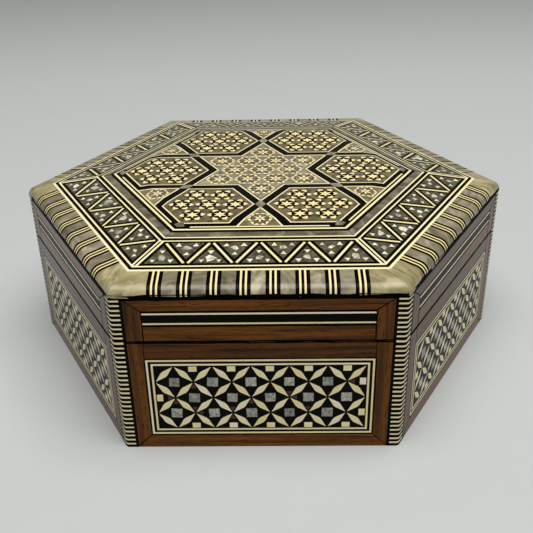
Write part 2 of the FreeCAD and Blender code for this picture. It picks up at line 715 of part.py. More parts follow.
parts.append(six_copies("medallion_outer_lines", medallion_ring(frames[0], frames[1])))
parts.append(six_copies("medallion_borders", medallion_ring(frames[1], frames[2])))
parts.append(six_copies("medallion_inner_lines", medallion_ring(frames[2], frames[3])))
parts.append(six_copies("medallion_grounds", in_field(frames[3].cut(rhombi))))
parts.append(six_copies("pearl_rhombi", in_field(Part.makeCompound([junctions[0], corner_rhombus]))))

open_field = field_layer
for k in range(6):
    open_field = open_field.cut(turned(frames[0], 60 * k))
star = doc.addObject("Part::Feature", "star_ground")
star.Shape = min(open_field.Solids, key=lambda solid: abs(solid.CenterOfMass.y))
star.Placement = Placement()
parts.append(star)
triangle = max(open_field.Solids, key=lambda solid: solid.CenterOfMass.y)
parts.append(six_copies("field_triangles", triangle))

# Velvet lining

floor_lining = new_body("floor_lining")
floor_sketch = new_sketch(floor_lining, "XY_Plane", "sizes.base_thick")
LINING_FACE = BOARD_BACK + " - sizes.joint_gap"
lining_face = board_back - size("joint_gap")
draw_hexagon(floor_sketch, lining_face / COS30, "(%s) * 2 / sqrt(3)" % LINING_FACE)
pad(floor_lining, floor_sketch, "sizes.lining")
parts.append(floor_lining)


def wall_lining(label, height, length):
    """Six strips of velvet on the inside of the walls."""
    body = new_body(label)
    sketch = new_sketch(body, "XY_Plane", height)
    draw_mitred_strip(sketch, lining_face, LINING_FACE, size("lining"), "sizes.lining", size("joint_gap"))
    six_round(body, [pad(body, sketch, length)])
    return body


parts.append(wall_lining("wall_lining", "sizes.base_thick + sizes.lining",
                         "sizes.body_height - sizes.base_thick - sizes.lining - sizes.lining_drop"))
parts.append(wall_lining("lid_rim_lining", LID_BASE + " + sizes.lining_drop",
                         "sizes.lid_rim - sizes.lining_drop - sizes.lining"))
lid_lining = new_body("lid_lining")
ceiling_sketch = new_sketch(lid_lining, "XY_Plane", LID_CEILING + " - sizes.lining")
draw_hexagon(ceiling_sketch, lining_face / COS30, "(%s) * 2 / sqrt(3)" % LINING_FACE)
pad(lid_lining, ceiling_sketch, "sizes.lining")
parts.append(lid_lining)

# Brass butt hinges: leaves let into the edges, knuckles behind the back face, and pins

AXIS_Y = APOTHEM + " + sizes.axis_out"
AXIS_Z = "sizes.body_height + sizes.seam_gap / 2"
SIDE_KNUCKLE = "((sizes.leaf_length - sizes.knuckle_middle) / 2 - sizes.knuckle_gap)"
BORE = "(sizes.pin_radius + sizes.pin_play) / %.6f" % math.cos(math.pi / KNUCKLE_FACETS)


def bound(kind, name, **expressions):
    """A primitive whose sizes and place are bound to the sheet."""
    item = doc.addObject(kind, name)
    for key, expression in expressions.items():
        item.setExpression(key.replace("_at_", "Placement.Base."), expression)
    return item


def rod(name, start, length, radius):
    """A many-sided rod on the hinge axis, from a start along X."""
    item = bound("Part::Prism", name, Circumradius=radius, Height=length,
                 _at_x=start, _at_y=AXIS_Y, _at_z=AXIS_Z)
    item.Polygon = KNUCKLE_FACETS
    item.Placement = Placement(Vector(0, 0, 0), Rotation(Vector(0, 1, 0), 90))
    return item


def leaf(name, middle, leaf_bottom, spans):
    """A hinge leaf with its tongues and bored knuckles; spans are start and length along X."""
    plate = bound("Part::Box", name + "_plate", Length="sizes.leaf_length", Width="sizes.leaf_depth",
                  Height="sizes.leaf_thick", _at_x=middle + " - sizes.leaf_length / 2",
                  _at_y=APOTHEM + " - sizes.leaf_depth", _at_z=leaf_bottom)
    pieces = [plate]
    for number, (start, length) in enumerate(spans):
        start = middle + " + " + start
        pieces.append(bound("Part::Box", "%s_tongue_%d" % (name, number), Length=length,
                            Width="sizes.axis_out + sizes.joint_gap", Height="sizes.leaf_thick", _at_x=start,
                            _at_y=APOTHEM + " - sizes.joint_gap", _at_z=leaf_bottom))
        pieces.append(rod("%s_knuckle_%d" % (name, number), start, length, "sizes.knuckle_radius"))
    solid = doc.addObject("Part::MultiFuse", name + "_solid")
    solid.Shapes = pieces
    bore = rod(name + "_bore", middle + " - sizes.leaf_length / 2 - sizes.pin_head",
               "sizes.leaf_length + 2 * sizes.pin_head", BORE)
    bored = doc.addObject("Part::Cut", name + "_bored")
    bored.Base = solid
    bored.Tool = bore
    return bored


def group(label, items):
    """Equal pieces of hardware as one named group."""
    compound = doc.addObject("Part::Compound", label)
    compound.Label = label
    compound.Links = items
    parts.append(compound)


HINGES = [("left", "-sizes.hinge_offset"), ("right", "sizes.hinge_offset")]
OUTER_SPANS = [("-sizes.leaf_length / 2", SIDE_KNUCKLE),
               ("sizes.knuckle_middle / 2 + sizes.knuckle_gap", SIDE_KNUCKLE)]
MIDDLE_SPAN = [("-sizes.knuckle_middle / 2", "sizes.knuckle_middle")]
BODY_LEAF = "sizes.body_height - sizes.leaf_thick"
group("hinge_body_leaves", [leaf("body_leaf_" + name, middle, BODY_LEAF, OUTER_SPANS)
                            for name, middle in HINGES])
group("hinge_lid_leaves", [leaf("lid_leaf_" + name, middle, LID_BASE, MIDDLE_SPAN)
                           for name, middle in HINGES])
group("hinge_pins", [rod("pin_" + name, middle + " - sizes.leaf_length / 2 - sizes.pin_head",
                         "sizes.leaf_length + 2 * sizes.pin_head", "sizes.pin_radius")
                     for name, middle in HINGES])


# Check every object, then write one file for each piece

doc.recompute()
faults = [item.Label for item in doc.Objects if "Invalid" in item.State or "Error" in item.State]
faults += [item.Label for item in parts if item.Shape.isNull() or not item.Shape.isValid()]
if faults:
    raise RuntimeError("failed: " + ", ".join(faults))
os.makedirs("parts", exist_ok=True)
for item in parts:
    item.Shape.exportStep("parts/%s.step" % item.Label)
    print(item.Label, len(item.Shape.Solids), round(item.Shape.Volume, 1))
print(len(parts), "pieces, lid top at", round(lid_top, 2))
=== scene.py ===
import math
import random
from functools import partial

import bmesh
import bpy
from mathutils import Euler, Matrix, Vector


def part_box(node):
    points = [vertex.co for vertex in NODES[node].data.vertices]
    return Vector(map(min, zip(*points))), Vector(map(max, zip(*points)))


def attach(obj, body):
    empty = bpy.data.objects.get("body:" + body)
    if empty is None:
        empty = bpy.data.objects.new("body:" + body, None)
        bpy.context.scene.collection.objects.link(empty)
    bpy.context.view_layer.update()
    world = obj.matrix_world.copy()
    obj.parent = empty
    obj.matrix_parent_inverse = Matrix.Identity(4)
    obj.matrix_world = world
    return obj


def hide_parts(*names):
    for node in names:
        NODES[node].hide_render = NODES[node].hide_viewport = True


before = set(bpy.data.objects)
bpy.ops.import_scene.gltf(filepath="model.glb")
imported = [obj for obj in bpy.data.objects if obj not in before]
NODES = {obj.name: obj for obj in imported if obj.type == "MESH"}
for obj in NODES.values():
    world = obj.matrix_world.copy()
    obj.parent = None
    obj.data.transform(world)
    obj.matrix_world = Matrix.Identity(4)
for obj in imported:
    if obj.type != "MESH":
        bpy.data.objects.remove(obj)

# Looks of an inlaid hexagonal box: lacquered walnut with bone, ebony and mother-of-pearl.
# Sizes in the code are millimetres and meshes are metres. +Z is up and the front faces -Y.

bl_info = {
    "name": "Inlaid Box",
    "version": (1, 0, 0),
    "blender": (4, 5, 0),
    "location": "3D View > Sidebar > Inlaid Box",
    "description": "Dresses a hexagonal walnut box with bone, ebony and mother-of-pearl inlay",
    "category": "Object",
}

MM = 0.001
SIDES = 6
COS30 = math.cos(math.radians(30))
TAN30 = math.tan(math.radians(30))
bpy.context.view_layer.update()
MATERIALS = {}


def millimetres(node, corner, axis):
    """One coordinate of a CAD node's box."""
    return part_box(node)[corner][axis] / MM


APOTHEM = -millimetres("body_top_rails", 0, 1)
SIDE = APOTHEM / COS30
BODY_TOP = millimetres("front_wall", 1, 2)
PANEL_BOTTOM, PANEL_TOP = (millimetres("panel_grounds", corner, 2) for corner in (0, 1))
LID_BASE = millimetres("lid_front_rim", 0, 2)
BAND_BOTTOM, BAND_TOP = (millimetres("lid_side_bands", corner, 2) for corner in (0, 1))
WALNUT_TOP = millimetres("lid_stiles", 1, 2)
EDGE_FOOT = millimetres("lid_edge_lines", 1, 2)
LID_TOP = millimetres("star_ground", 1, 2)
INNER_STRINGING = 3.3
FIELD = -millimetres("inner_stringing_ebony", 0, 1) - INNER_STRINGING
MEDALLION_SIDE = FIELD / COS30 / 3

# Lowest and highest level of drawn lines and of small inlaid pieces, from the surface they lie in
LINE = (-0.2, 0.02)
INLAID = (-0.3, 0.05)
BONE_LINE_DEPTH = 0.5


def linear(code):
    """An sRGB hex colour as linear red, green and blue."""
    channels = [int(code[i:i + 2], 16) / 255 for i in (0, 2, 4)]
    return [c / 12.92 if c <= 0.04045 else ((c + 0.055) / 1.055) ** 2.4 for c in channels]


def hex_colour(code, use):
    return bpy.props.FloatVectorProperty(name=use, subtype="COLOR", min=0.0, max=1.0,
                                         default=linear(code))


def length(value, use):
    return bpy.props.FloatProperty(name=use, description="In millimetres", min=0.0, default=value)


class InlaidBoxSizes(bpy.types.PropertyGroup):
    """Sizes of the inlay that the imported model's boxes don't give."""

    flat: length(47.0, "Apothem of the lid's flat middle")
    bevel: bpy.props.FloatProperty(name="Slope of the lid's border", subtype="ANGLE",
                                   default=math.radians(9.8))
    edge_round: length(4.0, "Radius of the lid's edge")
    zigzag_in: length(60.75, "Apothem where the zigzag band starts")
    zigzag_out: length(74.0, "Apothem where the zigzag band ends")
    crossband_in: length(77.1, "Apothem where the crossband starts")
    stripe_pitch: length(9.9, "Spacing of the striped blocks")
    stripe_block: length(5.0, "Width of a striped block")
    post_leg: length(3.4, "Width of a corner post on each side")
    post_round: length(1.5, "Radius of a corner post's outer edge")
    facing: length(1.6, "Thickness of the walnut facing")
    mastic: length(0.04, "Depth of the polished mastic below the bone")
    inlay: length(0.4, "Thickness of bone and pearl on the sides")
    stile: length(5.5, "Width of a stile on the body")
    lid_stile: length(6.0, "Width of a stile on the lid")
    post_line: length(1.0, "Ebony line beside a post")
    lattice_inset: length(2.95, "Panel edge to lattice")
    petal_width: length(2.3, "Width of a bone petal")
    petal_gap: length(0.45, "Petal's tip to its lattice point")
    pearl_square: length(3.8, "Side of a pearl square")
    chip_long: length(2.9, "Length of a bone chip at a panel's edge")
    chip_deep: length(2.3, "Depth of a bone chip at a panel's edge")
    border_in: length(15.4, "Apothem where a medallion's border starts")
    border_out: length(18.55, "Apothem where a medallion's border ends")
    medallion_grow: length(1.8, "Medallion's frame past its own hexagon")
    medallion_frame: length(19.17, "Apothem of a medallion's frame")
    flower_spacing: length(10.3, "Spacing of a medallion's flowers")
    rosette_side: length(5.74, "Side of a rosette of the star mosaic")
    outer_rosette: length(47.2, "Apothem of the rosettes near the edge")


class InlaidBoxColours(bpy.types.PropertyGroup):
    """Colours of the woods, bone, shell and metal."""

    bone: hex_colour("EFE5C9", "Polished camel bone of the sides")
    bone_shade: hex_colour("E6D497", "Bone along its grain")
    aged_bone: hex_colour("EBE0B1", "Bone of the lid under yellowed varnish")
    stained_bone: hex_colour("EDDCA2", "Yellower bone of the flowers")
    walnut: hex_colour("6E410D", "Lacquered walnut")
    walnut_dark: hex_colour("2C1503", "Walnut's dark grain")
    ebony: hex_colour("030302", "Ebonised wood and mastic")
    ebony_speck: hex_colour("2A1C14", "Brown specks in the black")
    grey_pearl: hex_colour("7A725B", "Grey mother-of-pearl")
    cream_pearl: hex_colour("938961", "Cream mother-of-pearl")
    band_pearl: hex_colour("5A543F", "Dull pearl of the plain band")
    star_pearl: hex_colour("6E6445", "Pearl ground of the star")
    silver_pearl: hex_colour("88897F", "Silver pearl of the side panels")
    white_pearl: hex_colour("EFE8C8", "White mother-of-pearl")
    abalone: hex_colour("B8B3A2", "Shell chips of the zigzag band")
    green_lustre: hex_colour("B9C6AE", "Greenish flash of pearl")
    cream_lustre: hex_colour("DACDB4", "Warm flash of pearl")
    dark_shell: hex_colour("4A4432", "Dark shell of the zigzag band")
    brown_shell: hex_colour("5C5138", "Brown shell of the medallions")
    green_shell: hex_colour("7F7C62", "Greenish flakes among the shell")
    rosewood: hex_colour("341208", "Rosewood tesserae")
    velvet: hex_colour("5B0F18", "Velvet lining")
    brass: hex_colour("C9A24E", "Hinge brass")
    tarnish: hex_colour("6B4F22", "Dull spots on the brass")
    carcass: hex_colour("8A5F37", "Wood of the boards")
    paper: hex_colour("B6B9B8", "Floor under the box")


def sizes():
    return bpy.context.scene.inlaid_box_sizes


def colours():
    return bpy.context.scene.inlaid_box_colours


# Nodes and materials
# Inputs by number: a range goes from 1 and 2 to 3 and 4, a mix of colours from 6 to 7, both by input 0

NOISE, RANGE, MIX, MATH, VECTOR, MAPPING = (
    "ShaderNode" + kind for kind in ("TexNoise", "MapRange", "Mix", "Math", "VectorMath", "Mapping"))
BLEND = {"output": 2, "data_type": "RGBA"}
PLACE = {"kind": "ShaderNodeTexCoord", "output": "Object"}
TONE = {"kind": "ShaderNodeAttribute", "output": "Fac", "attribute_name": "tone"}


def plug(tree, node, inputs):
    """Sets a node's inputs to values, or links them to other nodes' outputs."""
    for key, value in inputs.items():
        if isinstance(value, bpy.types.NodeSocket):
            tree.links.new(value, node.inputs[key])
        else:
            node.inputs[key].default_value = value


def add(tree, kind, inputs=None, output=0, **settings):
    """Adds one node, with its own settings and its inputs, and gives one of its outputs."""
    node = tree.nodes.new(kind)
    for key, value in settings.items():
        setattr(node, key, value)
    plug(tree, node, inputs or {})
    return node.outputs[output] if node.outputs else None


def rgba(colour, gain=1.0):
    return [min(1.0, c * gain) for c in colour] + [1.0]


def new_material(name):
    """Starts a material: a function that adds a node to it, and one that fills in its shader."""
    material = bpy.data.materials.new(name)
    material.use_nodes = True
    tree = material.node_tree

    def finish(inputs):
        plug(tree, tree.nodes["Principled BSDF"], inputs)
        return material

    return partial(add, tree), finish


def lacquer(weight, roughness, under):
    """The clear varnish over the box: a thin glossy coat, with little gloss of its own under it."""
    return {"Specular IOR Level": under, "Coat Weight": weight, "Coat Roughness": roughness,
            "Coat IOR": 1.2}


def walnut_material():
    """Sliced walnut under varnish: long dark grain, fine open pores, a soft sheen."""
    node, finish = new_material("lacquered_walnut")
    pale, dark = colours().walnut, colours().walnut_dark
    uv, tone = node("ShaderNodeUVMap", uv_map="grain"), node(**TONE)
    shift = node("ShaderNodeCombineXYZ", {"X": tone, "Y": tone, "Z": tone})
    place = node(VECTOR, {0: uv, 1: shift}, operation="ADD")
    # Grain bands 2 mm apart that run 50 mm, pores 0.3 mm wide and 4 mm long
    bands = node(MAPPING, {"Vector": place, "Scale": (20, 500, 7)})
    grain = node(NOISE, {"Vector": bands, "Scale": 1.0, "Detail": 4.0, "Distortion": 0.5})
    lines = node(MAPPING, {"Vector": place, "Scale": (250, 3000, 5)})
    pores = node(NOISE, {"Vector": lines, "Scale": 1.0, "Detail": 2.0})
    spread = node(RANGE, {0: grain, 1: 0.28, 2: 0.6})
    body = node(MIX, {0: spread, 6: rgba(dark), 7: rgba(pale)}, **BLEND)
    lit = node(RANGE, {0: tone, 3: 0.5, 4: 1.2})
    toned = node(VECTOR, {0: body, "Scale": lit}, operation="SCALE")
    opened = node(RANGE, {0: pores, 1: 0.55, 2: 0.68, 3: 0.0, 4: 0.75})
    relief = node("ShaderNodeBump", {"Height": pores, "Strength": 0.15, "Distance": 0.0002})
    return finish({"Base Color": node(MIX, {0: opened, 6: toned, 7: rgba(dark, 0.4)}, **BLEND),
                   "Roughness": node(RANGE, {0: grain, 3: 0.35, 4: 0.55}),
                   "Normal": relief, **lacquer(0.9, 0.2, 0.03)})


def bone_material(name, pale):
    """Polished camel bone: warm ivory with faint streaks and a few stained pieces."""
    node, finish = new_material(name)
    place, tone = node(**PLACE), node(**TONE)
    # Streaks 1.2 mm apart, stains 10 mm across
    streaks = node(NOISE, {"Vector": place, "Scale": 800.0, "Detail": 3.0})
    clouds = node(NOISE, {"Vector": place, "Scale": 100.0, "Detail": 2.0})
    mixed = node(MATH, {0: streaks, 1: clouds}, operation="MULTIPLY")
    shade = node(RANGE, {0: mixed, 1: 0.12, 2: 0.36, 3: 0.4, 4: 0.0})
    worn = node(MATH, {0: tone, 1: 0.75, 2: shade}, operation="MULTIPLY_ADD")
    body = node(MIX, {0: worn, 6: rgba(pale), 7: rgba(colours().bone_shade)}, **BLEND)
    return finish({"Base Color": body, "Roughness": node(RANGE, {0: streaks, 3: 0.3, 4: 0.5}),
                   **lacquer(0.8, 0.2, 0.2)})


def ebony_material(name, varnish):
    """Ebonised wood, mastic and glue: close to black, brown specks, a dull gloss where varnished."""
    node, finish = new_material(name)
    tint = colours()
    # Specks of 0.8 mm
    specks = node(NOISE, {"Vector": node(**PLACE), "Scale": 1200.0, "Detail": 3.0})
    shade = node(RANGE, {0: specks, 1: 0.5, 2: 0.8, 3: 0.0, 4: 0.3})
    body = node(MIX, {0: shade, 6: rgba(tint.ebony), 7: rgba(tint.ebony_speck)}, **BLEND)
    return finish({"Base Color": body, "Roughness": node(RANGE, {0: specks, 3: 0.35, 4: 0.6}),
                   **lacquer(varnish, 0.2, 0.01)})


def pearl_material(name, colour, spread, lustre_share, patch=6.0, contrast=0.4):
    """Mother-of-pearl: layered streaks, pale flashes and a faint green and cream lustre."""
    node, finish = new_material(name)
    tint, place, tone = colours(), node(**PLACE), node(**TONE)
    # Each piece is cut from another part of the shell, turned and moved by its tone
    turn = node(MATH, {0: tone, 1: 40.0}, operation="MULTIPLY")
    turned = node("ShaderNodeVectorRotate", {"Vector": place, "Angle": turn})
    jump = node(VECTOR, {0: (1.3, 2.7, 4.1), "Scale": tone}, operation="SCALE")
    moved = node(VECTOR, {0: turned, 1: jump}, operation="ADD")
    # Patches of lustre as wide as patch, in millimetres; growth layers a third as wide, twice as long
    layer = (480 / patch, 3000 / patch, 1800 / patch)
    stretched = node(MAPPING, {"Vector": moved, "Scale": layer})
    layers = node(NOISE, {"Vector": stretched, "Scale": 1.0, "Detail": 3.0, "Distortion": 0.7})
    patches = node(NOISE, {"Vector": moved, "Scale": 1.0 / (patch * MM), "Detail": 2.0,
                           "Distortion": 0.6})
    base = node(RANGE, {0: layers, 1: 0.3, 2: 0.7})
    body = node(MIX, {0: base, 6: rgba(colour, 0.95 - contrast), 7: rgba(colour, 0.95 + contrast)},
                **BLEND)
    hue = node(RANGE, {0: patches, 1: 0.42, 2: 0.58})
    lustre = node(MIX, {0: hue, 6: rgba(tint.green_lustre), 7: rgba(tint.cream_lustre)}, **BLEND)
    glint = node(RANGE, {0: patches, 1: 0.5, 2: 0.72, 3: 0.0, 4: lustre_share})
    tinted = node(MIX, {0: glint, 6: body, 7: lustre}, **BLEND)
    lit = node(RANGE, {0: tone, 3: 1.0 - spread, 4: 1.0 + spread})
    return finish({"Base Color": node(VECTOR, {0: tinted, "Scale": lit}, operation="SCALE"),
                   "Roughness": node(RANGE, {0: layers, 3: 0.22, 4: 0.42}), **lacquer(1.0, 0.2, 0.3)})


def flake_material(name, colour, flake):
    """Shell flakes set side by side in dark paste: angular patches of brown, grey and green."""
    node, finish = new_material(name)
    place = node(**PLACE)
    # One cell of the pattern is one flake, as wide as the flake in millimetres; specks of 0.7 mm
    cells = node("ShaderNodeTexVoronoi", {"Vector": place, "Scale": 1.0 / (flake * MM)}, "Color")
    red, green, blue = node("ShaderNodeSeparateColor", {"Color": cells}).node.outputs
    specks = node(NOISE, {"Vector": place, "Scale": 1500.0, "Detail": 2.0})
    shade = node(MATH, {0: red, 1: specks}, operation="MULTIPLY")
    body = node(MIX, {0: shade, 6: rgba(colour, 0.45), 7: rgba(colour, 2.6)}, **BLEND)
    hint = node(RANGE, {0: green, 1: 0.6, 2: 1.0, 3: 0.0, 4: 0.3})
    tinted = node(MIX, {0: hint, 6: body, 7: rgba(colours().green_shell)}, **BLEND)
    return finish({"Base Color": tinted, "Roughness": node(RANGE, {0: blue, 3: 0.25, 4: 0.5}),
                   **lacquer(0.8, 0.2, 0.15)})


def wood_material(name, colour):
    """Plain close-grained wood, oiled, with fine lines round the box."""
    node, finish = new_material(name)
    # Grain lines 2 mm apart that run 40 mm
    stretched = node(MAPPING, {"Vector": node(**PLACE), "Scale": (25, 25, 500)})
    grain = node(NOISE, {"Vector": stretched, "Scale": 1.0, "Detail": 4.0})
    body = node(MIX, {0: grain, 6: rgba(colour, 0.6), 7: rgba(colour, 1.3)}, **BLEND)
    return finish({"Base Color": body, "Roughness": 0.6})


def velvet_material():
    """Cotton velvet: matt pile with a pale sheen at its edges and uneven nap."""
    node, finish = new_material("cotton_velvet")
    colour, place = colours().velvet, node(**PLACE)
    # Pile tufts of 0.5 mm, brushed patches of 12 mm
    tufts = node(NOISE, {"Vector": place, "Scale": 2000.0, "Detail": 2.0})
    nap = node(NOISE, {"Vector": place, "Scale": 80.0, "Detail": 2.0})
    mixed = node(MATH, {0: tufts, 1: nap}, operation="MULTIPLY")
    shade = node(RANGE, {0: mixed, 1: 0.1, 2: 0.42})
    pile = node(MIX, {0: shade, 6: rgba(colour, 0.45), 7: rgba(colour, 1.3)}, **BLEND)
    relief = node("ShaderNodeBump", {"Height": tufts, "Strength": 0.5, "Distance": 0.0004})
    return finish({"Base Color": pile, "Normal": relief, "Roughness": 0.95,
                   "Sheen Weight": 0.35, "Sheen Tint": rgba(colour, 3.0), "Sheen Roughness": 0.4})


def brass_material():
    """Stamped brass, dulled and brushed along the leaf."""
    node, finish = new_material("stamped_brass")
    tint, place = colours(), node(**PLACE)
    # Brush lines 0.4 mm apart and 16 mm long, tarnish spots of 4 mm
    brushed = node(MAPPING, {"Vector": place, "Scale": (60, 2500, 2500)})
    lines = node(NOISE, {"Vector": brushed, "Scale": 1.0, "Detail": 3.0})
    spots = node(NOISE, {"Vector": place, "Scale": 260.0, "Detail": 4.0})
    shade = node(RANGE, {0: spots, 1: 0.4, 2: 0.75, 3: 0.0, 4: 0.7})
    body = node(MIX, {0: shade, 6: rgba(tint.brass), 7: rgba(tint.tarnish)}, **BLEND)
    return finish({"Base Color": body, "Roughness": node(RANGE, {0: lines, 3: 0.22, 4: 0.48}),
                   "Metallic": 1.0})


def paper_material():
    """Matt paper that falls into shade behind the box."""
    node, finish = new_material("matt_paper")
    colour, place = colours().paper, node(**PLACE)
    # Fibres of 15 mm; the shade runs from 400 mm to 850 mm behind the middle of the box
    fibres = node(NOISE, {"Vector": place, "Scale": 65.0, "Detail": 4.0})
    plain = node(MIX, {0: fibres, 6: rgba(colour, 0.97), 7: rgba(colour)}, **BLEND)
    behind = node("ShaderNodeSeparateXYZ", {0: place}, "Y")
    far = node(RANGE, {0: behind, 1: 0.4, 2: 0.85})
    return finish({"Base Color": node(MIX, {0: far, 6: plain, 7: rgba(colour, 0.78)}, **BLEND),
                   "Roughness": 0.9})


def make_materials():
    tint = colours()
    return {
        "walnut": walnut_material(),
        "bone": bone_material("polished_bone", tint.bone),
        "aged_bone": bone_material("varnished_bone", tint.aged_bone),
        "stained_bone": bone_material("stained_bone", tint.stained_bone),
        "ebony": ebony_material("ebonised_wood", 0.4),
        "mastic": ebony_material("black_mastic", 0.4),
        "glue": ebony_material("black_glue", 0.0),
        "grey_pearl": pearl_material("grey_mother_of_pearl", tint.grey_pearl, 0.3, 0.35),
        "plain_pearl": pearl_material("plain_grey_pearl", tint.band_pearl, 0.0, 0.25),
        "cream_pearl": pearl_material("cream_mother_of_pearl", tint.cream_pearl, 0.1, 0.3),
        "star_pearl": pearl_material("cream_pearl_ground", tint.star_pearl, 0.0, 0.3),
        "silver_pearl": pearl_material("silver_mother_of_pearl", tint.silver_pearl, 0.45, 0.25, 2.0,
                                       0.65),
        "white_pearl": pearl_material("white_mother_of_pearl", tint.white_pearl, 0.1, 0.4),
        "abalone": pearl_material("abalone", tint.abalone, 0.4, 1.0, 2.2, 0.8),
        "dark_shell": flake_material("dark_shell_flakes", tint.dark_shell, 1.3),
        "brown_shell": flake_material("brown_shell_flakes", tint.brown_shell, 2.6),
        "rosewood": wood_material("rosewood", tint.rosewood),
        "carcass": wood_material("carcass_wood", tint.carcass),
        "velvet": velvet_material(),
        "brass": brass_material(),
        "paper": paper_material(),
    }


def finish_nodes(material, slot, *names):
    """Gives CAD nodes their finish."""
    for name in names:
        NODES[name].data.materials.clear()
        NODES[name].data.materials.append(MATERIALS[material])


# Shapes

def polar(radius, degrees):
    turn = math.radians(degrees)
    return (radius * math.cos(turn), radius * math.sin(turn))


def oblong(left, bottom, right, top):
    return [(left, bottom), (right, bottom), (right, top), (left, top)]


def around(points, degrees):
    """Plan points turned about the origin."""
    c, s = polar(1.0, degrees)
    return [(x * c - y * s, x * s + y * c) for x, y in points]


def placed(points, centre, degrees=0.0):
    return [(x + centre[0], y + centre[1]) for x, y in around(points, degrees)]


def directions(start, end):
    """Unit vectors from start to end and to the left of that."""
    along = (Vector(end) - Vector(start)).normalized()
    return along, Vector((-along.y, along.x))


def inset(outline, distances):
    """A convex counter-clockwise outline with each edge moved in by its own distance."""
    lines = []
    for start, end, distance in zip(outline, outline[1:] + outline[:1], distances):
        along, left = directions(start, end)
        lines.append((Vector(start) + left * distance, along))
    corners = []
    for i, (q, v) in enumerate(lines):
        p, u = lines[i - 1]
        corners.append(p + u * ((q - p).cross(v) / u.cross(v)))
    return corners


def on_plan(x, y, out):
    return Vector((x, y, out))


def on_side(k):
    """Maps x along side k, height and distance out of its face to the box's frame."""
    turn = Matrix.Rotation(math.radians(60 * k), 4, "Z")
    return lambda x, z, out: turn @ Vector((x, -(APOTHEM + out), z))


def on_edge(k):
    """Like on_side, but following the lid's rounded edge above its foot."""
    radius, place = sizes().edge_round, on_side(k)
    return lambda x, z, out: place(
        x, z, out - radius + math.sqrt(radius ** 2 - max(0.0, z - EDGE_FOOT) ** 2))


def plan_apothem(x, y):
    """Distance of a plan point from the axis, measured to the hexagon's nearest side."""
    return max(abs(y), abs(x * COS30 + y * 0.5), abs(x * COS30 - y * 0.5))


def lid_height(x, y):
    """Height of the lid's surface inside its rounded edge."""
    return LID_TOP - max(0.0, plan_apothem(x, y) - sizes().flat) * math.tan(sizes().bevel)


def on_lid(x, y, out):
    return Vector((x, y, lid_height(x, y) + out))


def drape(data):
    """Cuts a mesh made on the plan along the lid's creases and lays it over the lid's surface."""
    mesh = bmesh.new()
    mesh.from_mesh(data)
    creases = [((0.0, 0.0), polar(1.0, 60 * k + 90)) for k in range(SIDES // 2)]
    creases += [(polar(sizes().flat * MM, 60 * k + 30), polar(1.0, 60 * k + 30)) for k in range(SIDES)]
    for point, normal in creases:
        bmesh.ops.bisect_plane(mesh, geom=mesh.verts[:] + mesh.edges[:] + mesh.faces[:], dist=1e-7,
                               plane_co=(*point, 0.0), plane_no=(*normal, 0.0))
    for vertex in mesh.verts:
        vertex.co.z += lid_height(vertex.co.x / MM, vertex.co.y / MM) * MM
    mesh.to_mesh(data)
    mesh.free()


def new_object(name, data):
    made = bpy.data.objects.new(name, data)
    bpy.context.scene.collection.objects.link(made)
    return made


def settle(data, name, material, body, slot, replaced=(), ease=0.0, draped=False):
    """Makes a piece of a mesh, eases its edges by so many millimetres and sets it on its body."""
    if draped:
        drape(data)
    data.materials.clear()
    data.materials.append(MATERIALS[material])
    data.shade_smooth()
    data.set_sharp_from_angle(angle=math.radians(35))
    piece = new_object(name, data)
    if ease:
        bevel = piece.modifiers.new("eased_edges", "BEVEL")
        bevel.width = ease * MM
        bevel.segments = 2
        bevel.limit_method = "ANGLE"
        bevel.angle_limit = math.radians(40)
    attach(piece, body)
    if replaced:
        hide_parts(*replaced)


class Pieces:
    """Collects closed inlaid pieces in one mesh, with grain UVs and a tone for each piece."""

    def __init__(self, seed):
        self.mesh = bmesh.new()
        self.uv = self.mesh.loops.layers.uv.new("grain")
        self.tone = self.mesh.verts.layers.float.new("tone")
        self.random = random.Random(seed)

    def ring(self, points, tone):
        ring = [self.mesh.verts.new(point * MM) for point in points]
        for vertex in ring:
            vertex[self.tone] = tone
        return ring

    def add(self, outline, place, low, high, grain=0.0, tone=None):
        """One prism from an outline, counter-clockwise seen from outside; grain is an angle."""
        tone = self.random.random() if tone is None else tone
        bottom, top = [self.ring([place(u, v, level) for u, v in outline], tone)
                       for level in (low, high)]
        turned = [Vector(point) * MM for point in around(outline, -math.degrees(grain))]
        count = len(outline)
        faces = [(top, range(count)), (bottom[::-1], range(count - 1, -1, -1))]
        for i in range(count):
            j = (i + 1) % count
            faces.append(([bottom[i], bottom[j], top[j], top[i]], (i, j, j, i)))
        for corners, numbers in faces:
            for loop, number in zip(self.mesh.faces.new(corners).loops, numbers):
                loop[self.uv].uv = turned[number]

    def loft(self, sections, tone=None):
        """A closed piece through sections of equal point count, capped at both ends."""
        tone = self.random.random() if tone is None else tone
        rings = [self.ring(section, tone) for section in sections]
        count = len(rings[0])
        for first, second in zip(rings[:-1], rings[1:]):
            for i in range(count):
                j = (i + 1) % count
                self.mesh.faces.new([first[i], first[j], second[j], second[i]])
        self.mesh.faces.new(rings[0][::-1])
        self.mesh.faces.new(rings[-1])

    def data(self, name):
        """The collected mesh, with its faces outwards."""
        bmesh.ops.recalc_face_normals(self.mesh, faces=self.mesh.faces)
        data = bpy.data.meshes.new(name)
        self.mesh.to_mesh(data)
        self.mesh.free()
        return data

    def finish(self, name, *finish, **options):
        settle(self.data(name), name, *finish, **options)


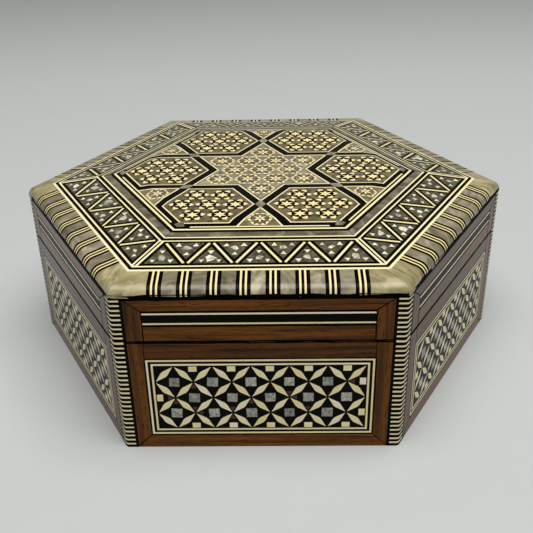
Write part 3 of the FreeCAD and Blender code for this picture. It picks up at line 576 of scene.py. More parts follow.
def repeat_tree():
    """Geometry nodes that set a piece on every point, turned by the point's own turn."""
    tree = bpy.data.node_groups.new("repeat_on_points", "GeometryNodeTree")
    for name, kind in (("Places", "Geometry"), ("Piece", "Object"), ("Finish", "Material"),
                       ("Size", "Float")):
        tree.interface.new_socket(name, in_out="INPUT", socket_type="NodeSocket" + kind)
    tree.interface.new_socket("Result", in_out="OUTPUT", socket_type="NodeSocketGeometry")
    entry = tree.nodes.new("NodeGroupInput").outputs
    turn = add(tree, "GeometryNodeInputNamedAttribute", {"Name": "turn"}, data_type="FLOAT_VECTOR")
    piece = add(tree, "GeometryNodeObjectInfo", {"Object": entry["Piece"]}, "Geometry")
    copies = add(tree, "GeometryNodeInstanceOnPoints", {
        "Points": entry["Places"], "Instance": piece, "Rotation": turn, "Scale": entry["Size"]})
    real = add(tree, "GeometryNodeRealizeInstances", {"Geometry": copies})
    painted = add(tree, "GeometryNodeSetMaterial", {"Geometry": real, "Material": entry["Finish"]})
    add(tree, "NodeGroupOutput", {"Result": painted})
    return tree


def repeat(pieces, places, scale, name, material, *finish, **options):
    """One piece of copies of the collected pieces; a place is a point, a turn and a tone."""
    tree = bpy.data.node_groups.get("repeat_on_points") or repeat_tree()
    shape, points = pieces.data(name + "_source"), bpy.data.meshes.new(name + "_places")
    shape.attributes.remove(shape.attributes["tone"])
    where, turns, tones = zip(*places)
    points.from_pydata([Vector(point) * MM for point in where], [], [])
    points.attributes.new("turn", "FLOAT_VECTOR", "POINT")
    points.attributes.new("tone", "FLOAT", "POINT")
    points.attributes["turn"].data.foreach_set("vector", [angle for turn in turns for angle in turn])
    points.attributes["tone"].data.foreach_set("value", tones)
    source, holder = [new_object(mesh.name, mesh) for mesh in (shape, points)]
    modifier = holder.modifiers.new("repeat", "NODES")
    modifier.node_group = tree
    inputs = {"Piece": source, "Finish": MATERIALS[material], "Size": scale}
    for socket in tree.interface.items_tree:
        if socket.name in inputs:
            modifier[socket.identifier] = inputs[socket.name]
    bpy.context.view_layer.update()
    graph = bpy.context.evaluated_depsgraph_get()
    data = bpy.data.meshes.new_from_object(holder.evaluated_get(graph))
    data.name = name
    holder.modifiers.remove(modifier)
    bpy.data.objects.remove(holder)
    bpy.data.objects.remove(source)
    settle(data, name, material, *finish, **options)


def ring_line(pieces, k, near, far, trim=0.0, high=LINE[1]):
    """A line round one side of the lid between two apothems, its mitred ends cut back by trim."""
    x_near, x_far = near * TAN30 - trim, far * TAN30 - trim
    outline = [(-x_far, -far), (x_far, -far), (x_near, -near), (-x_near, -near)]
    pieces.add(around(outline, 60 * k), on_lid, LINE[0], high)


# Operators

class INLAY_OT_carcass(bpy.types.Operator):
    """Finishes the boards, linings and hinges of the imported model."""

    bl_idname = "inlay.carcass"
    bl_label = "Carcass and Linings"

    def execute(self, context):
        boards = [name for name in NODES if name.endswith(("_wall", "_rim"))]
        finish_nodes("carcass", "carcass_wood", "base_board", "lid_board", *boards)
        finish_nodes("velvet", "velvet", "floor_lining", "wall_lining", "lid_lining", "lid_rim_lining")
        finish_nodes("brass", "brass", "hinge_body_leaves", "hinge_lid_leaves", "hinge_pins")
        return {"FINISHED"}


class INLAY_OT_walnut_frames(bpy.types.Operator):
    """Walnut stiles and rails of body and lid, with grain along each piece and black glue lines."""

    bl_idname = "inlay.walnut_frames"
    bl_label = "Walnut Frames"

    tone_spread = 0.12
    # Length of a step of a glue line, and shares of its half width from step to step
    glue_step, glue_spread = 4.0, (0.55, 1.2)
    bone_line_inset, bone_line_half = 1.05, 0.31
    ease = 0.2

    def glue_line(self, lines, place, start, end, width):
        """An uneven black line from start to end on one side's face."""
        start, end, across = Vector(start), Vector(end), directions(start, end)[1] * width / 2
        steps = max(2, round((end - start).length / self.glue_step))
        low_edge, high_edge = [
            [start.lerp(end, i / steps) + across * sign * lines.random.uniform(*self.glue_spread)
             for i in range(steps + 1)] for sign in (-1, 1)]
        lines.add(low_edge + high_edge[::-1], place, *LINE)

    def execute(self, context):
        size = sizes()
        post_in = SIDE / 2 - size.post_leg - size.post_line
        body_in, lid_in = post_in - size.stile, post_in - size.lid_stile
        body, lid, body_lines, lid_lines, bone, bands = [Pieces(seed) for seed in range(11, 17)]
        # Outline, grain and tone of the right stile, the left one and the rails
        stile = [(post_in, 0), (post_in, BODY_TOP), (body_in, BODY_TOP), (body_in, PANEL_BOTTOM)]
        lid_stile = [(post_in, LID_BASE), (post_in, WALNUT_TOP), (lid_in, BAND_TOP),
                     (lid_in, LID_BASE)]
        rail = [(-post_in, 0), (post_in, 0), (body_in, PANEL_BOTTOM), (-body_in, PANEL_BOTTOM)]
        lid_rail = [(-lid_in, BAND_TOP), (lid_in, BAND_TOP), (post_in, WALNUT_TOP),
                    (-post_in, WALNUT_TOP)]
        left, lid_left = [[(-x, z) for x, z in outline[::-1]] for outline in (stile, lid_stile)]
        upright = math.pi / 2
        # The last column sets each board's base tone: lowest on the body's top rails, just under the
        # lid, and highest on its bottom rails
        boards = ((body, stile, upright, 0.55), (body, left, upright, 0.55), (body, rail, 0, 0.85),
                  (body, oblong(-body_in, PANEL_TOP, body_in, BODY_TOP), 0, 0.25),
                  (lid, lid_stile, upright, 0.5), (lid, lid_left, upright, 0.5),
                  (lid, lid_rail, 0, 0.8),
                  (lid, oblong(-lid_in, LID_BASE, lid_in, BAND_BOTTOM), 0, 0.75))
        # Start, end and width of the glue lines: at both ends of a side, then along it
        body_glue, lid_glue = [], []
        for s in (-1, 1):
            beside = s * (body_in + 0.15)
            body_glue += [((beside, PANEL_BOTTOM), (beside, PANEL_TOP), 0.5),
                          ((s * post_in, 0.2), (s * body_in, PANEL_BOTTOM), 0.3),
                          ((s * body_in, PANEL_TOP), (s * body_in, BODY_TOP), 0.25)]
            lid_glue += [((s * post_in, WALNUT_TOP), (s * lid_in, BAND_TOP), 0.4),
                         ((s * lid_in, LID_BASE), (s * lid_in, BAND_TOP), 0.55)]
        for x, z, width in ((body_in, PANEL_BOTTOM - 0.15, 0.5), (body_in, PANEL_TOP + 0.15, 0.5),
                            (post_in, BODY_TOP - 0.3, 0.6)):
            body_glue.append(((-x, z), (x, z), width))
        for x, z, width in ((lid_in, BAND_BOTTOM, 0.3), (lid_in, BAND_TOP, 0.3),
                            (post_in, WALNUT_TOP + 0.1, 0.7), (SIDE / 2 - 0.2, EDGE_FOOT + 0.45, 1.45),
                            (post_in, LID_BASE + 0.2, 0.4)):
            lid_glue.append(((-x, z), (x, z), width))
        for k in range(SIDES):
            place = on_side(k)
            for pieces, outline, grain, shade in boards:
                tone = shade + pieces.random.uniform(-self.tone_spread, self.tone_spread)
                pieces.add(outline, place, -size.facing, 0, grain, tone)
            for start, end, width in body_glue:
                self.glue_line(body_lines, place, start, end, width)
            for start, end, width in lid_glue:
                over_foot = min(start[1], end[1]) > EDGE_FOOT
                self.glue_line(lid_lines, on_edge(k) if over_foot else place, start, end, width)
            bands.add(oblong(-lid_in, BAND_BOTTOM, lid_in, BAND_TOP), place,
                      -size.facing, -size.mastic)
            for z in (BAND_BOTTOM + self.bone_line_inset, BAND_TOP - self.bone_line_inset):
                strip = oblong(-lid_in, z - self.bone_line_half, lid_in, z + self.bone_line_half)
                bone.add(strip, place, -BONE_LINE_DEPTH, 0)
        body.finish("body_walnut_frames", "walnut", "body", "walnut",
                    ["body_stiles", "body_bottom_rails", "body_top_rails"], self.ease)
        lid.finish("lid_walnut_frames", "walnut", "lid", "walnut",
                   ["lid_stiles", "lid_top_rails", "lid_bottom_rails"], self.ease)
        bands.finish("lid_mastic_bands", "mastic", "lid", "mastic", ["lid_side_bands"])
        bone.finish("lid_bone_lines", "bone", "lid", "bone", ["lid_side_lines"])
        body_lines.finish("body_glue_lines", "glue", "body", "mastic")
        lid_lines.finish("lid_glue_lines", "glue", "lid", "mastic")
        return {"FINISHED"}


class INLAY_OT_lattice_panels(bpy.types.Operator):
    """Bone petals, pearl squares, bone chips and lines of the side panels."""

    bl_idname = "inlay.lattice_panels"
    bl_label = "Lattice Panels"

    columns, rows = 11, 4
    bone_lines = ((0.25, 0.95), (1.95, 2.65))
    # A petal's outline, as shares of its length and of half its width
    petal_shape = ((0.0, 0.0), (0.44, -1.0), (0.56, -1.0), (1.0, 0.0), (0.56, 1.0), (0.44, 1.0))
    wedge = ((0.7, 0.0), (2.7, -1.0), (2.7, 1.0))
    wedge_share = 0.22
    # Spread of the pearl squares: scale, turn in degrees and level
    square_scale, square_turn, square_level = (0.92, 1.03), (-4, 4), (-0.03, 0.02)

    def point(self, column, row):
        return (self.left + column * self.width, self.bottom + row * self.height)

    def petal(self, column, row):
        """Slim blunt rhombus on the diagonal of one cell."""
        rising = (column + row) % 2
        start = Vector(self.point(column, row + 1 - rising))
        end = Vector(self.point(column + 1, row + rising))
        along, across = directions(start, end)
        start, end = start + along * sizes().petal_gap, end - along * sizes().petal_gap
        return [start.lerp(end, share) + across * bulge * sizes().petal_width / 2
                for share, bulge in self.petal_shape]

    def cell(self, column, row, place, squares, chips, reds):
        """Rosewood wedges between petals, a pearl square or, at the panel's edge, a bone chip."""
        size, centre, low = sizes(), self.point(column, row), -sizes().inlay
        at_end, at_rail = column in (0, self.columns), row in (0, self.rows)
        inside = not at_end and not at_rail
        if (column + row) % 2:
            for quarter in range(4 if inside else 0):
                if reds.random.random() < self.wedge_share:
                    reds.add(placed(self.wedge, centre, 90 * quarter), place, low, -size.mastic / 2)
        elif inside:
            half = size.pearl_square / 2 * squares.random.uniform(*self.square_scale)
            turn = squares.random.uniform(*self.square_turn)
            square = placed(oblong(-half, -half, half, half), centre, turn)
            squares.add(square, place, low, squares.random.uniform(*self.square_level))
        elif at_end != at_rail:
            turn = (180 if row else 0) if at_rail else (90 if column else -90)
            chip = oblong(-size.chip_long / 2, 0.1, size.chip_long / 2, size.chip_deep)
            chips.add(placed(chip, centre, turn), place, low, 0)

    def execute(self, context):
        size = sizes()
        half = SIDE / 2 - size.post_leg - size.post_line - size.stile
        self.left = -half + size.lattice_inset
        self.bottom = PANEL_BOTTOM + size.lattice_inset
        self.width = -2 * self.left / self.columns
        self.height = (PANEL_TOP - size.lattice_inset - self.bottom) / self.rows
        petals, squares, chips, reds, lines, grounds = [Pieces(seed) for seed in range(21, 27)]
        for k in range(SIDES):
            place = on_side(k)
            grounds.add(oblong(-half, PANEL_BOTTOM, half, PANEL_TOP), place,
                        -size.facing, -size.mastic)
            for insets in self.bone_lines:
                outer, inner = [oblong(a - half, PANEL_BOTTOM + a, half - a, PANEL_TOP - a)
                                for a in insets]
                for i in range(4):
                    j = (i + 1) % 4
                    strip = [outer[i], outer[j], inner[j], inner[i]]
                    lines.add(strip, place, -BONE_LINE_DEPTH, 0)
            for column in range(self.columns):
                for row in range(self.rows):
                    tone = petals.random.random() ** 0.6 * 0.9
                    petals.add(self.petal(column, row), place, -size.inlay, 0, tone=tone)
            for column in range(self.columns + 1):
                for row in range(self.rows + 1):
                    self.cell(column, row, place, squares, chips, reds)
        petals.finish("panel_bone_petals", "bone", "body", "bone", ["panel_petals"])
        squares.finish("panel_pearl_tesserae", "silver_pearl", "body", "grey_pearl",
                       ["panel_pearl_squares"])
        chips.finish("panel_edge_chips", "bone", "body", "bone", ["panel_bone_chips"])
        reds.finish("panel_rosewood_chips", "rosewood", "body", "mastic")
        lines.finish("panel_bone_lines", "bone", "body", "bone",
                     ["panel_outer_lines", "panel_inner_lines"])
        grounds.finish("panel_mastic_grounds", "mastic", "body", "mastic", ["panel_grounds"])
        return {"FINISHED"}


class INLAY_OT_corner_posts(bpy.types.Operator):
    """Striped corner posts, slices of bone and ebony bent round each corner."""

    bl_idname = "inlay.corner_posts"
    bl_label = "Corner Posts"

    bone_share = 0.37
    seam = 0.01
    lean = 0.0008

    def slice_outline(self):
        """Plan of a slice at the corner on +X."""
        size = sizes()
        corner = Vector((SIDE, 0))
        leg_end = corner + Vector((-0.5, COS30)) * size.post_leg
        leg_back = leg_end - Vector((COS30, 0.5)) * size.facing
        inner = Vector(((APOTHEM - size.facing) / COS30, 0))
        centre = corner - Vector((size.post_round / COS30, 0))
        arc = [centre + Vector(polar(size.post_round, 30 - 10 * step)) for step in range(7)]
        mirrored = [Vector((p.x, -p.y)) for p in (leg_end, leg_back)]
        return ([leg_end] + arc + mirrored + [inner, leg_back])[::-1]

    def stripes(self, body, bottom, top, count, replaced, lines):
        pitch = (top - bottom) / count
        bone_height = self.bone_share * pitch
        chance = random.Random(count)
        for kind, height, offset in (("bone", bone_height, pitch - bone_height),
                                     ("ebony", pitch - bone_height, 0.0)):
            pieces = Pieces(31)
            pieces.add(self.slice_outline(), on_plan, self.seam, height - self.seam)
            places = []
            for k in range(SIDES):
                for step in range(count):
                    lean = chance.uniform(-self.lean, self.lean) if step else 0.0
                    places.append(((0, 0, bottom + offset + step * pitch),
                                   (0, lean, math.radians(60 * k)), chance.uniform(0.3, 0.8)))
            repeat(pieces, places, 1.0, "%s_post_%s_slices" % (body, kind), kind, body, kind,
                   replaced if kind == "bone" else ())
        finish_nodes("ebony", "ebony", lines)

    def execute(self, context):
        self.stripes("body", 0.0, BODY_TOP, 24, ["body_corner_posts"], "body_post_lines")
        self.stripes("lid", LID_BASE, WALNUT_TOP, 9, ["lid_corner_posts"], "lid_post_lines")
        return {"FINISHED"}


class INLAY_OT_crossband(bpy.types.Operator):
    """Rounded edge of the lid: pearl tiles, striped blocks and pearl corners."""

    bl_idname = "inlay.crossband"
    bl_label = "Crossband"

    blocks = 8
    stripes = (1.3, 0.7, 1.0, 0.7, 1.3)
    thick = 1.0
    round_steps = 7

    def profile(self):
        """Apothem and height from the inner edge over the round edge to its foot, and back inside."""
        size = sizes()
        start = size.crossband_in
        height = LID_TOP - (start - size.flat) * math.tan(size.bevel)
        outer, inner = [(start, height)], [(start, height - self.thick)]
        for step in range(self.round_steps + 1):
            turn = (90 - math.degrees(size.bevel)) * (1 - step / self.round_steps)
            for points, depth in ((outer, 0.0), (inner, self.thick)):
                across, up = polar(size.edge_round - depth, turn)
                points.append((APOTHEM - size.edge_round + across, EDGE_FOOT + up))
        return outer + inner[::-1]

    def execute(self, context):
        size, profile = sizes(), self.profile()
        tiles, bone, black, corners = [Pieces(seed) for seed in range(41, 45)]
        middles = [(i - (self.blocks - 1) / 2) * size.stripe_pitch for i in range(self.blocks)]
        tile = size.stripe_pitch - size.stripe_block
        last = middles[-1] + size.stripe_block / 2

        def piece(pieces, k, *ends):
            """A length of the profile between two ends, each an x and its growth with the apothem."""
            turn = Matrix.Rotation(math.radians(60 * k), 3, "Z")
            sections = [[turn @ Vector((x + growth * a, -a, z)) for a, z in profile]
                        for x, growth in ends]
            pieces.loft(sections, 1.0 if pieces is bone else None)

        for k in range(SIDES):
            for middle in middles:
                x = middle - size.stripe_block / 2
                for i, width in enumerate(self.stripes):
                    piece(bone if i % 2 else black, k, (x, 0), (x + width, 0))
                    x += width
            for left, right in zip(middles[:-1], middles[1:]):
                centre = (left + right) / 2
                piece(tiles, k, (centre - tile / 2, 0), (centre + tile / 2, 0))
            piece(corners, k, (last, 0), (0, TAN30))
            piece(corners, k, (0, -TAN30), (-last, 0))
        tiles.finish("crossband_tiles", "grey_pearl", "lid", "grey_pearl", ["crossband_pearl_tiles"])
        bone.finish("crossband_bone_stripes", "aged_bone", "lid", "bone", ["crossband_stripe_blocks"])
        black.finish("crossband_ebony_stripes", "ebony", "lid", "ebony")
        corners.finish("crossband_corner_shells", "cream_pearl", "lid", "cream_pearl",
                       ["crossband_corners"])
        finish_nodes("glue", "ebony", "lid_edge_lines")
        return {"FINISHED"}


class INLAY_OT_border(bpy.types.Operator):
    """Stringing, pearl band and zigzag border of the lid, with small triangles and shell chips."""

    bl_idname = "inlay.border"
    bl_label = "Zigzag Border"

    line_half, black = 0.59, 1.05
    bone_half, bone_end, bone_deep = 0.43, 1.35, 1.0
    base_black = 0.9
    mitre_half = 1.33
    arrow_seat, arrow_reach, arrow_spread = 0.52, 1.2, (0.75, 1.15)
    # Spread of the shell chips: reach, count of corners, and a corner's turn and share of the reach
    chip_reach, chip_corners, chip_turn, chip_share = (1.3, 2.2), (4, 6), (-0.25, 0.25), (0.5, 1.25)

    def execute(self, context):
        finish_nodes("aged_bone", "bone", "bevel_bone_stringing", "inner_stringing_bone",
                     "mitre_bone_lines")
        finish_nodes("ebony", "ebony", "bevel_ebony_stringing", "inner_stringing_ebony",
                     "mitre_ebony_lines", "zigzag_triangles")
        finish_nodes("plain_pearl", "grey_pearl", "pearl_band")
        grounds, small, chips, lines, bone, zigzag = [Pieces(seed) for seed in range(51, 57)]
        self.grounds, self.small, self.chips = grounds, small, chips
        near, far = sizes().zigzag_in, sizes().zigzag_out
        mitre = self.mitre_half / COS30
        half = (near * TAN30 - mitre) / 4
        flank = self.line_half + self.black
        stringing = (far + sizes().crossband_in) / 2
        # Black lines from one apothem to another: beside the zigzag, then in the three stringings
        black_lines = ((near, near + self.base_black, mitre),
                       (far - self.base_black, far + 0.25, mitre),
                       (stringing - 0.6, stringing + 0.6, 0.0), (near - 1.93, near - 0.6, 0.0),
                       (FIELD + 0.5, FIELD + 1.25, 0.0), (FIELD + 2.1, FIELD + 3.35, 0.0))
        seam = oblong((FIELD + INNER_STRINGING) / COS30, -0.1, (near - 2.5) / COS30, 0.1)
        for k in range(SIDES):
            for inner, outer, trim in black_lines:
                ring_line(lines, k, inner, outer, trim)
            lines.add(around(seam, 60 * k), on_lid, LINE[0], 0.01)
            ring_line(bone, k, FIELD - 0.1, FIELD + 0.5, 4.9, 0.03)
            for step in range(-4, 4):
                start, end = (far, near) if step % 2 else (near, far)
                self.line(zigzag, k, (step * half, -start), ((step + 1) * half, -end))
            for step in range(-3, 4):
                base, tip = (near, far) if step % 2 else (far, near)
                outline = [((step - 1) * half, -base), ((step + 1) * half, -base), (step * half, -tip)]
                self.triangle(k, outline, (self.base_black, flank, flank))
            for end in (-1, 1):
                left, right = sorted((end * 3 * half, end * (far * TAN30 - mitre)))
                outline = [(left, -far), (right, -far), (end * (near * TAN30 - mitre), -near)]
                self.triangle(k, outline, (self.base_black, *(flank, self.black)[::-end]))
        grounds.finish("zigzag_shell_grounds", "dark_shell", "lid", "dark_pearl")
        small.finish("zigzag_small_triangles", "white_pearl", "lid", "cream_pearl")
        chips.finish("zigzag_shell_chips", "abalone", "lid", "cream_pearl")
        lines.finish("border_ebony_lines", "ebony", "lid", "ebony")
        bone.finish("field_edge_lines", "aged_bone", "lid", "bone")
        zigzag.finish("zigzag_bone_lines", "aged_bone", "lid", "bone", ["zigzag_lines"])
        return {"FINISHED"}

    def line(self, zigzag, k, start, end):
        """One bone line of the zigzag, cut off square before the stringing."""
        along, across = directions(start, end)
        start, end = Vector(start) + along * self.bone_end, Vector(end) - along * self.bone_end
        across *= self.bone_half
        outline = [start - across, end - across, end + across, start + across]
        zigzag.add(around(outline, 60 * k), on_lid, -self.bone_deep, LINE[1])

    def triangle(self, k, outline, margins):
        """One dark triangle, its base first, with three small pearl triangles and a shell chip."""
        outline = [Vector(point) for point in around(outline, 60 * k)]
        if (outline[1] - outline[0]).cross(outline[2] - outline[0]) < 0:
            outline = [outline[1], outline[0], outline[2]]
            margins = (margins[0], margins[2], margins[1])
        corners = inset(outline, margins)
        low, proud = INLAID
        self.grounds.add(corners, on_lid, low, 0.015)
        middle = sum(corners, Vector((0, 0))) / 3
        ways = [(corner - middle).normalized() * self.arrow_reach for corner in corners]
        for corner in corners:
            seat = middle.lerp(corner, self.arrow_seat)
            arrow = [seat - way * self.small.random.uniform(*self.arrow_spread) for way in ways]
            self.small.add(arrow, on_lid, low, proud)
        chance = self.chips.random
        reach, count, chip = chance.uniform(*self.chip_reach), chance.randint(*self.chip_corners), []
        for i in range(count):
            angle = 360 * (i + chance.uniform(*self.chip_turn)) / count
            chip.append(middle + Vector(polar(reach * chance.uniform(*self.chip_share), angle)))
        self.chips.add(chip, on_lid, low, proud * 1.4)


class INLAY_OT_medallions(bpy.types.Operator):
    """Six medallions with seven bone flowers each."""

    bl_idname = "inlay.medallions"
    bl_label = "Medallions"

    star_out, star_in = 2.6, 1.2
    petal = ((3.3, 0.0), (3.1, -1.1), (3.8, -1.2), (4.95, 0.0), (3.8, 1.2), (3.1, 1.1))
    rhombus = ((1.2, 0.0), (2.4, -1.35), (3.4, -0.75), (3.4, 0.75), (2.4, 1.35))
    wedge = ((2.7, 0.0), (4.25, -1.1), (4.25, 1.1))
    shell_proud = 0.04
    # Spread of the flowers: turn in degrees and slip along each axis
    flower_turn, flower_slip = (-6, 6), (-0.2, 0.2)

    def execute(self, context):
        finish_nodes("aged_bone", "bone", "medallion_outer_lines", "medallion_inner_lines")
        finish_nodes("ebony", "ebony", "medallion_borders")
        finish_nodes("brown_shell", "dark_pearl", "medallion_grounds")
        self.frames()
        spacing = sizes().flower_spacing
        centres = [(0.0, 0.0)] + [polar(spacing, 60 * k) for k in range(SIDES)]
        chance = random.Random(61)
        places = []
        for k in range(SIDES):
            for x, y in placed(centres, polar(2 * MEDALLION_SIDE, 60 * k)):
                lean = math.radians(chance.uniform(*self.flower_turn))
                slip_x, slip_y = [chance.uniform(*self.flower_slip) for axis in range(2)]
                places.append(((x + slip_x, y + slip_y, 0.0), (0, 0, lean), chance.random() * 0.5))
        low, proud = INLAID
        bone, black = Pieces(62), Pieces(63)
        star = [polar(self.star_out if i % 2 else self.star_in, 30 * i) for i in range(2 * SIDES)]
        bone.add(star, on_plan, low, proud)
        for k in range(SIDES):
            bone.add(around(self.petal, 60 * k), on_plan, low, proud)
            black.add(around(self.rhombus, 60 * k), on_plan, low, proud * 0.6)
            black.add(around(self.wedge, 60 * k + 30), on_plan, low, proud * 0.6)
        repeat(bone, places, 1.0, "medallion_bone_flowers", "stained_bone", "lid", "bone", draped=True)
        repeat(black, places, 1.0, "medallion_ebony_points", "ebony", "lid", "ebony", draped=True)
        return {"FINISHED"}

    def frames(self):
        """Black borders of the medallions and the pearl rhombi over their meeting corners."""
        near, far, grow = sizes().border_in, sizes().border_out, sizes().medallion_grow
        rim = MEDALLION_SIDE * COS30 - 0.1
        inner = [(near, near * TAN30), (near, -near * TAN30)]
        # An edge's border: along the field's rim, next to that, and free of it
        at_rim = inner + [(rim, -rim * TAN30), (rim, rim * TAN30)]
        beside_rim = inner + [(rim, -rim * TAN30), (far, (far / 2 - rim) / COS30), (far, far * TAN30)]
        free = inner + [(far, -far * TAN30), (far, far * TAN30)]
        mirrored = [(n, -t) for n, t in beside_rim][::-1]
        junction = [(2 * grow, 0.0), (0.0, grow / COS30), (-2 * grow, 0.0), (0.0, -grow / COS30)]
        corner = [(-0.1, 0.0), (-0.77 * grow, 1.28 * grow), (-2 * grow / COS30, 0.0),
                  (-0.77 * grow, -1.28 * grow)]
        junction = placed(junction, (2 * MEDALLION_SIDE * COS30, 0.0))
        corner = placed(corner, (3 * MEDALLION_SIDE, 0.0))
        black, shells = Pieces(64), Pieces(65)
        for k in range(SIDES):
            for edge, outline in enumerate((at_rim, beside_rim, free, free, mirrored, at_rim)):
                strip = placed(outline, (2 * MEDALLION_SIDE, 0.0), 30 + 60 * edge)
                black.add(around(strip, 60 * k), on_plan, *LINE)
            shells.add(around(junction, 60 * k + 30), on_plan, LINE[0], self.shell_proud)
            shells.add(around(corner, 60 * k), on_plan, LINE[0], self.shell_proud)
        black.finish("medallion_black_borders", "ebony", "lid", "ebony", draped=True)
        shells.finish("rhombus_shells", "grey_pearl", "lid", "grey_pearl", ["pearl_rhombi"],
                      draped=True)


class INLAY_OT_star_mosaic(bpy.types.Operator):
    """Small mosaic of the star and outer triangles: rosettes with shell triangles between."""

    bl_idname = "inlay.star_mosaic"
    bl_label = "Star Mosaic"

    # Bone dart along a rosette's side, from its corner; bone and wood points along its radius
    dart = ((0.1, 0.06), (1.9, 0.06), (2.8, 0.3), (1.5, 1.2))
    bone_point = ((0.2, 0.0), (1.5, -0.6), (2.9, 0.0), (1.5, 0.6))
    wood_points = (((1.3, 0.0), (2.4, -0.7), (2.4, 0.7)), ((3.2, -0.65), (4.7, 0.0), (3.2, 0.65)))
    outer_scale = 0.84
    shell_gap = 0.35
    field_gap = 0.3

    def on_star(self, points):
        """Whether plan points lie in the field and clear of the medallions' frames."""
        medallions = [polar(2 * MEDALLION_SIDE, 60 * k) for k in range(SIDES)]
        return all(plan_apothem(x, y) <= FIELD - self.field_gap and
                   all(plan_apothem(x - a, y - b) >= sizes().medallion_frame for a, b in medallions)
                   for x, y in points)

    def rosette(self):
        """Bone darts and rosewood points of one rosette, corners on the x axis."""
        low, proud = INLAID
        bone, wood = Pieces(72), Pieces(73)
        for k in range(SIDES):
            corner, following = [Vector(polar(sizes().rosette_side, 60 * step)) for step in (k, k + 1)]
            for start, end, way in ((corner, following, 1), (following, corner, -1)):
                along, left = directions(start, end)
                dart = [start + along * u + left * v * way for u, v in self.dart]
                bone.add(dart[::way], on_plan, low, proud)
            bone.add(around(self.bone_point, 60 * k + 30), on_plan, low, proud)
            for point in self.wood_points:
                wood.add(around(point, 60 * k), on_plan, low, proud * 0.8)
        return bone, wood

    def execute(self, context):
        finish_nodes("star_pearl", "cream_pearl", "star_ground", "field_triangles")
        side = sizes().rosette_side
        star = [(0.0, 0.0)]
        for k in range(SIDES):
            star += [polar(2 * side, 60 * k), polar(4 * side * COS30, 60 * k + 30)]
        outer = [polar(sizes().outer_rosette, 60 * k + 90) for k in range(SIDES)]
        chance = random.Random(71)
        for group, centres, scale in (("star", star, 1.0), ("outer", outer, self.outer_scale)):
            places = [((x, y, 0.0), (0, 0, 0), chance.random() * 0.6) for x, y in centres]
            bone, wood = self.rosette()
            repeat(bone, places, scale, group + "_bone_darts", "aged_bone", "lid", "bone", draped=True)
            repeat(wood, places, scale, group + "_rosewood_points", "rosewood", "lid", "mastic",
                   draped=True)
        shells, seen = Pieces(74), set()
        reach = side * TAN30 - self.shell_gap
        outline = [polar(reach, turn) for turn in (0, 120, 240)]
        for x, y in star:
            for turn in range(30, 390, 60):
                centre = placed([polar(side * (COS30 + TAN30 / 2), turn)], (x, y))[0]
                triangle = placed(outline, centre, turn)
                key = (round(centre[0]), round(centre[1]))
                if key not in seen and self.on_star(triangle):
                    seen.add(key)
                    shells.add(triangle, on_lid, INLAID[0], INLAID[1] * 0.6)
        shells.finish("star_shell_triangles", "grey_pearl", "lid", "grey_pearl")
        return {"FINISHED"}


class INLAY_OT_hinge_screws(bpy.types.Operator):
    """Slotted countersunk screws in the hinge leaves."""

    bl_idname = "inlay.hinge_screws"
    bl_label = "Hinge Screws"

    head, slot_half, proud, deep = 1.5, 0.22, 0.1, 0.4
    offset, spread, depth = 24.0, 7.5, 3.2
    head_steps, half_steps = 16, 8

    def screw(self):
        pieces = Pieces(81)
        disc = [polar(self.head, 360 * i / self.head_steps) for i in range(self.head_steps)]
        pieces.add(disc, on_plan, -self.deep, LINE[1])
        start = math.degrees(math.asin(self.slot_half / self.head))
        half = [polar(self.head, start + (180 - 2 * start) * i / self.half_steps)
                for i in range(self.half_steps + 1)]
        for turn in (0, 180):
            pieces.add(around(half, turn), on_plan, 0.0, self.proud)
        return pieces

    def execute(self, context):
        chance = random.Random(82)
        for body, height, tilt in (("body", BODY_TOP, 0.0), ("lid", LID_BASE, math.pi)):
            places = []
            for middle in (-self.offset, self.offset):
                for x in (middle - self.spread, middle + self.spread):
                    places.append(((x, APOTHEM - self.depth, height), (tilt, 0, chance.uniform(0, 3)),
                                   chance.random()))
            repeat(self.screw(), places, 1.0, body + "_hinge_screws", "brass", body, "brass")
        return {"FINISHED"}


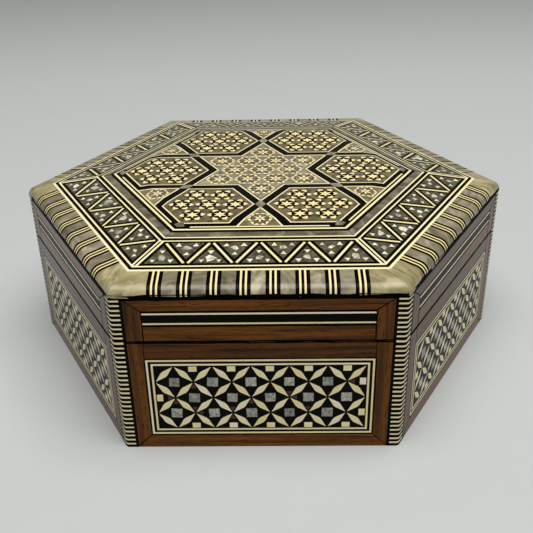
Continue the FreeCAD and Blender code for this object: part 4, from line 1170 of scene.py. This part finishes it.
class INLAY_OT_stage(bpy.types.Operator):
    """Pale floor and backdrop, soft light from above and the camera at the photograph's angle."""

    bl_idname = "inlay.stage"
    bl_label = "Stage"

    # Places in metres and angles in radians
    camera_place = (0.0082, -0.31245, 0.20092)
    yaw, pitch, roll = -0.0232, 0.5056, -0.0211
    focal_pixels, frame_pixels, sensor = 798.81, 533, 36.0
    floor_half, floor_front, floor_back, floor_top = 3.0, -1.6, 0.9, 2.4
    curve, curve_steps = 0.6, 12
    lamp_place, lamp_target = (0.12, -0.3, 1.5), (0, 0.05, 0.03)
    lamp_size, lamp_power, room_light = (1.5, 1.2), 35.0, 0.15

    def execute(self, context):
        self.floor()
        self.lights(context.scene)
        self.camera(context.scene)
        return {"FINISHED"}

    def floor(self):
        """A sheet of pale paper that lies flat and curves up behind the box."""
        points = [(self.floor_front, 0.0), (self.floor_back, 0.0)]
        for step in range(1, self.curve_steps + 1):
            up, along = polar(self.curve, 90 * step / self.curve_steps)
            points.append((self.floor_back + along, self.curve - up))
        points.append((self.floor_back + self.curve, self.floor_top))
        data = bpy.data.meshes.new("paper_floor")
        edge = self.floor_half
        data.from_pydata([(x, y, z) for y, z in points for x in (-edge, edge)], [],
                         [(i, i + 1, i + 3, i + 2) for i in range(0, 2 * len(points) - 2, 2)])
        data.shade_smooth()
        data.materials.append(MATERIALS["paper"])
        new_object("paper_floor", data)

    def lights(self, scene):
        """A dim room and one large lamp above the front of the box."""
        scene.world = bpy.data.worlds.new("soft_room")
        scene.world.use_nodes = True
        plug(scene.world.node_tree, scene.world.node_tree.nodes["Background"],
             {"Color": rgba(linear("EDEEEC")), "Strength": self.room_light})
        data = bpy.data.lights.new("lamp_above", "AREA")
        data.shape = "RECTANGLE"
        data.size, data.size_y = self.lamp_size
        data.energy = self.lamp_power
        data.color = linear("FDFCFA")
        lamp = new_object("lamp_above", data)
        lamp.location = self.lamp_place
        lamp.rotation_mode = "QUATERNION"
        lamp.rotation_quaternion = (Vector(self.lamp_target) - lamp.location).to_track_quat("-Z", "Y")
        scene.view_settings.view_transform = "Standard"

    def camera(self, scene):
        data = bpy.data.cameras.new("camera")
        data.sensor_width = self.sensor
        data.lens = self.sensor * self.focal_pixels / self.frame_pixels
        data.clip_start, data.clip_end = 0.01, 20.0
        scene.camera = new_object("camera", data)
        aim = Euler((math.pi / 2 - self.pitch, 0.0, -self.yaw)).to_matrix().to_4x4()
        roll = Matrix.Rotation(self.roll, 4, "Z")
        scene.camera.matrix_world = Matrix.Translation(self.camera_place) @ aim @ roll


STEPS = [INLAY_OT_carcass, INLAY_OT_walnut_frames, INLAY_OT_lattice_panels, INLAY_OT_corner_posts,
         INLAY_OT_crossband, INLAY_OT_border, INLAY_OT_medallions, INLAY_OT_star_mosaic,
         INLAY_OT_hinge_screws, INLAY_OT_stage]


class INLAY_PT_box(bpy.types.Panel):
    """Lists the steps that dress the box."""

    bl_idname = "INLAY_PT_box"
    bl_label = "Inlaid Box"
    bl_space_type = "VIEW_3D"
    bl_region_type = "UI"
    bl_category = "Inlaid Box"

    def draw(self, context):
        for step in STEPS:
            self.layout.operator(step.bl_idname)


CLASSES = [InlaidBoxSizes, InlaidBoxColours, *STEPS, INLAY_PT_box]


def register():
    for item in CLASSES:
        bpy.utils.register_class(item)
    bpy.types.Scene.inlaid_box_sizes = bpy.props.PointerProperty(type=InlaidBoxSizes)
    bpy.types.Scene.inlaid_box_colours = bpy.props.PointerProperty(type=InlaidBoxColours)


def unregister():
    del bpy.types.Scene.inlaid_box_colours
    del bpy.types.Scene.inlaid_box_sizes
    for item in reversed(CLASSES):
        bpy.utils.unregister_class(item)


def main():
    register()
    MATERIALS.update(make_materials())
    for step in STEPS:
        group, name = step.bl_idname.split(".")
        getattr(getattr(bpy.ops, group), name)()


if __name__ == "__main__":
    main()
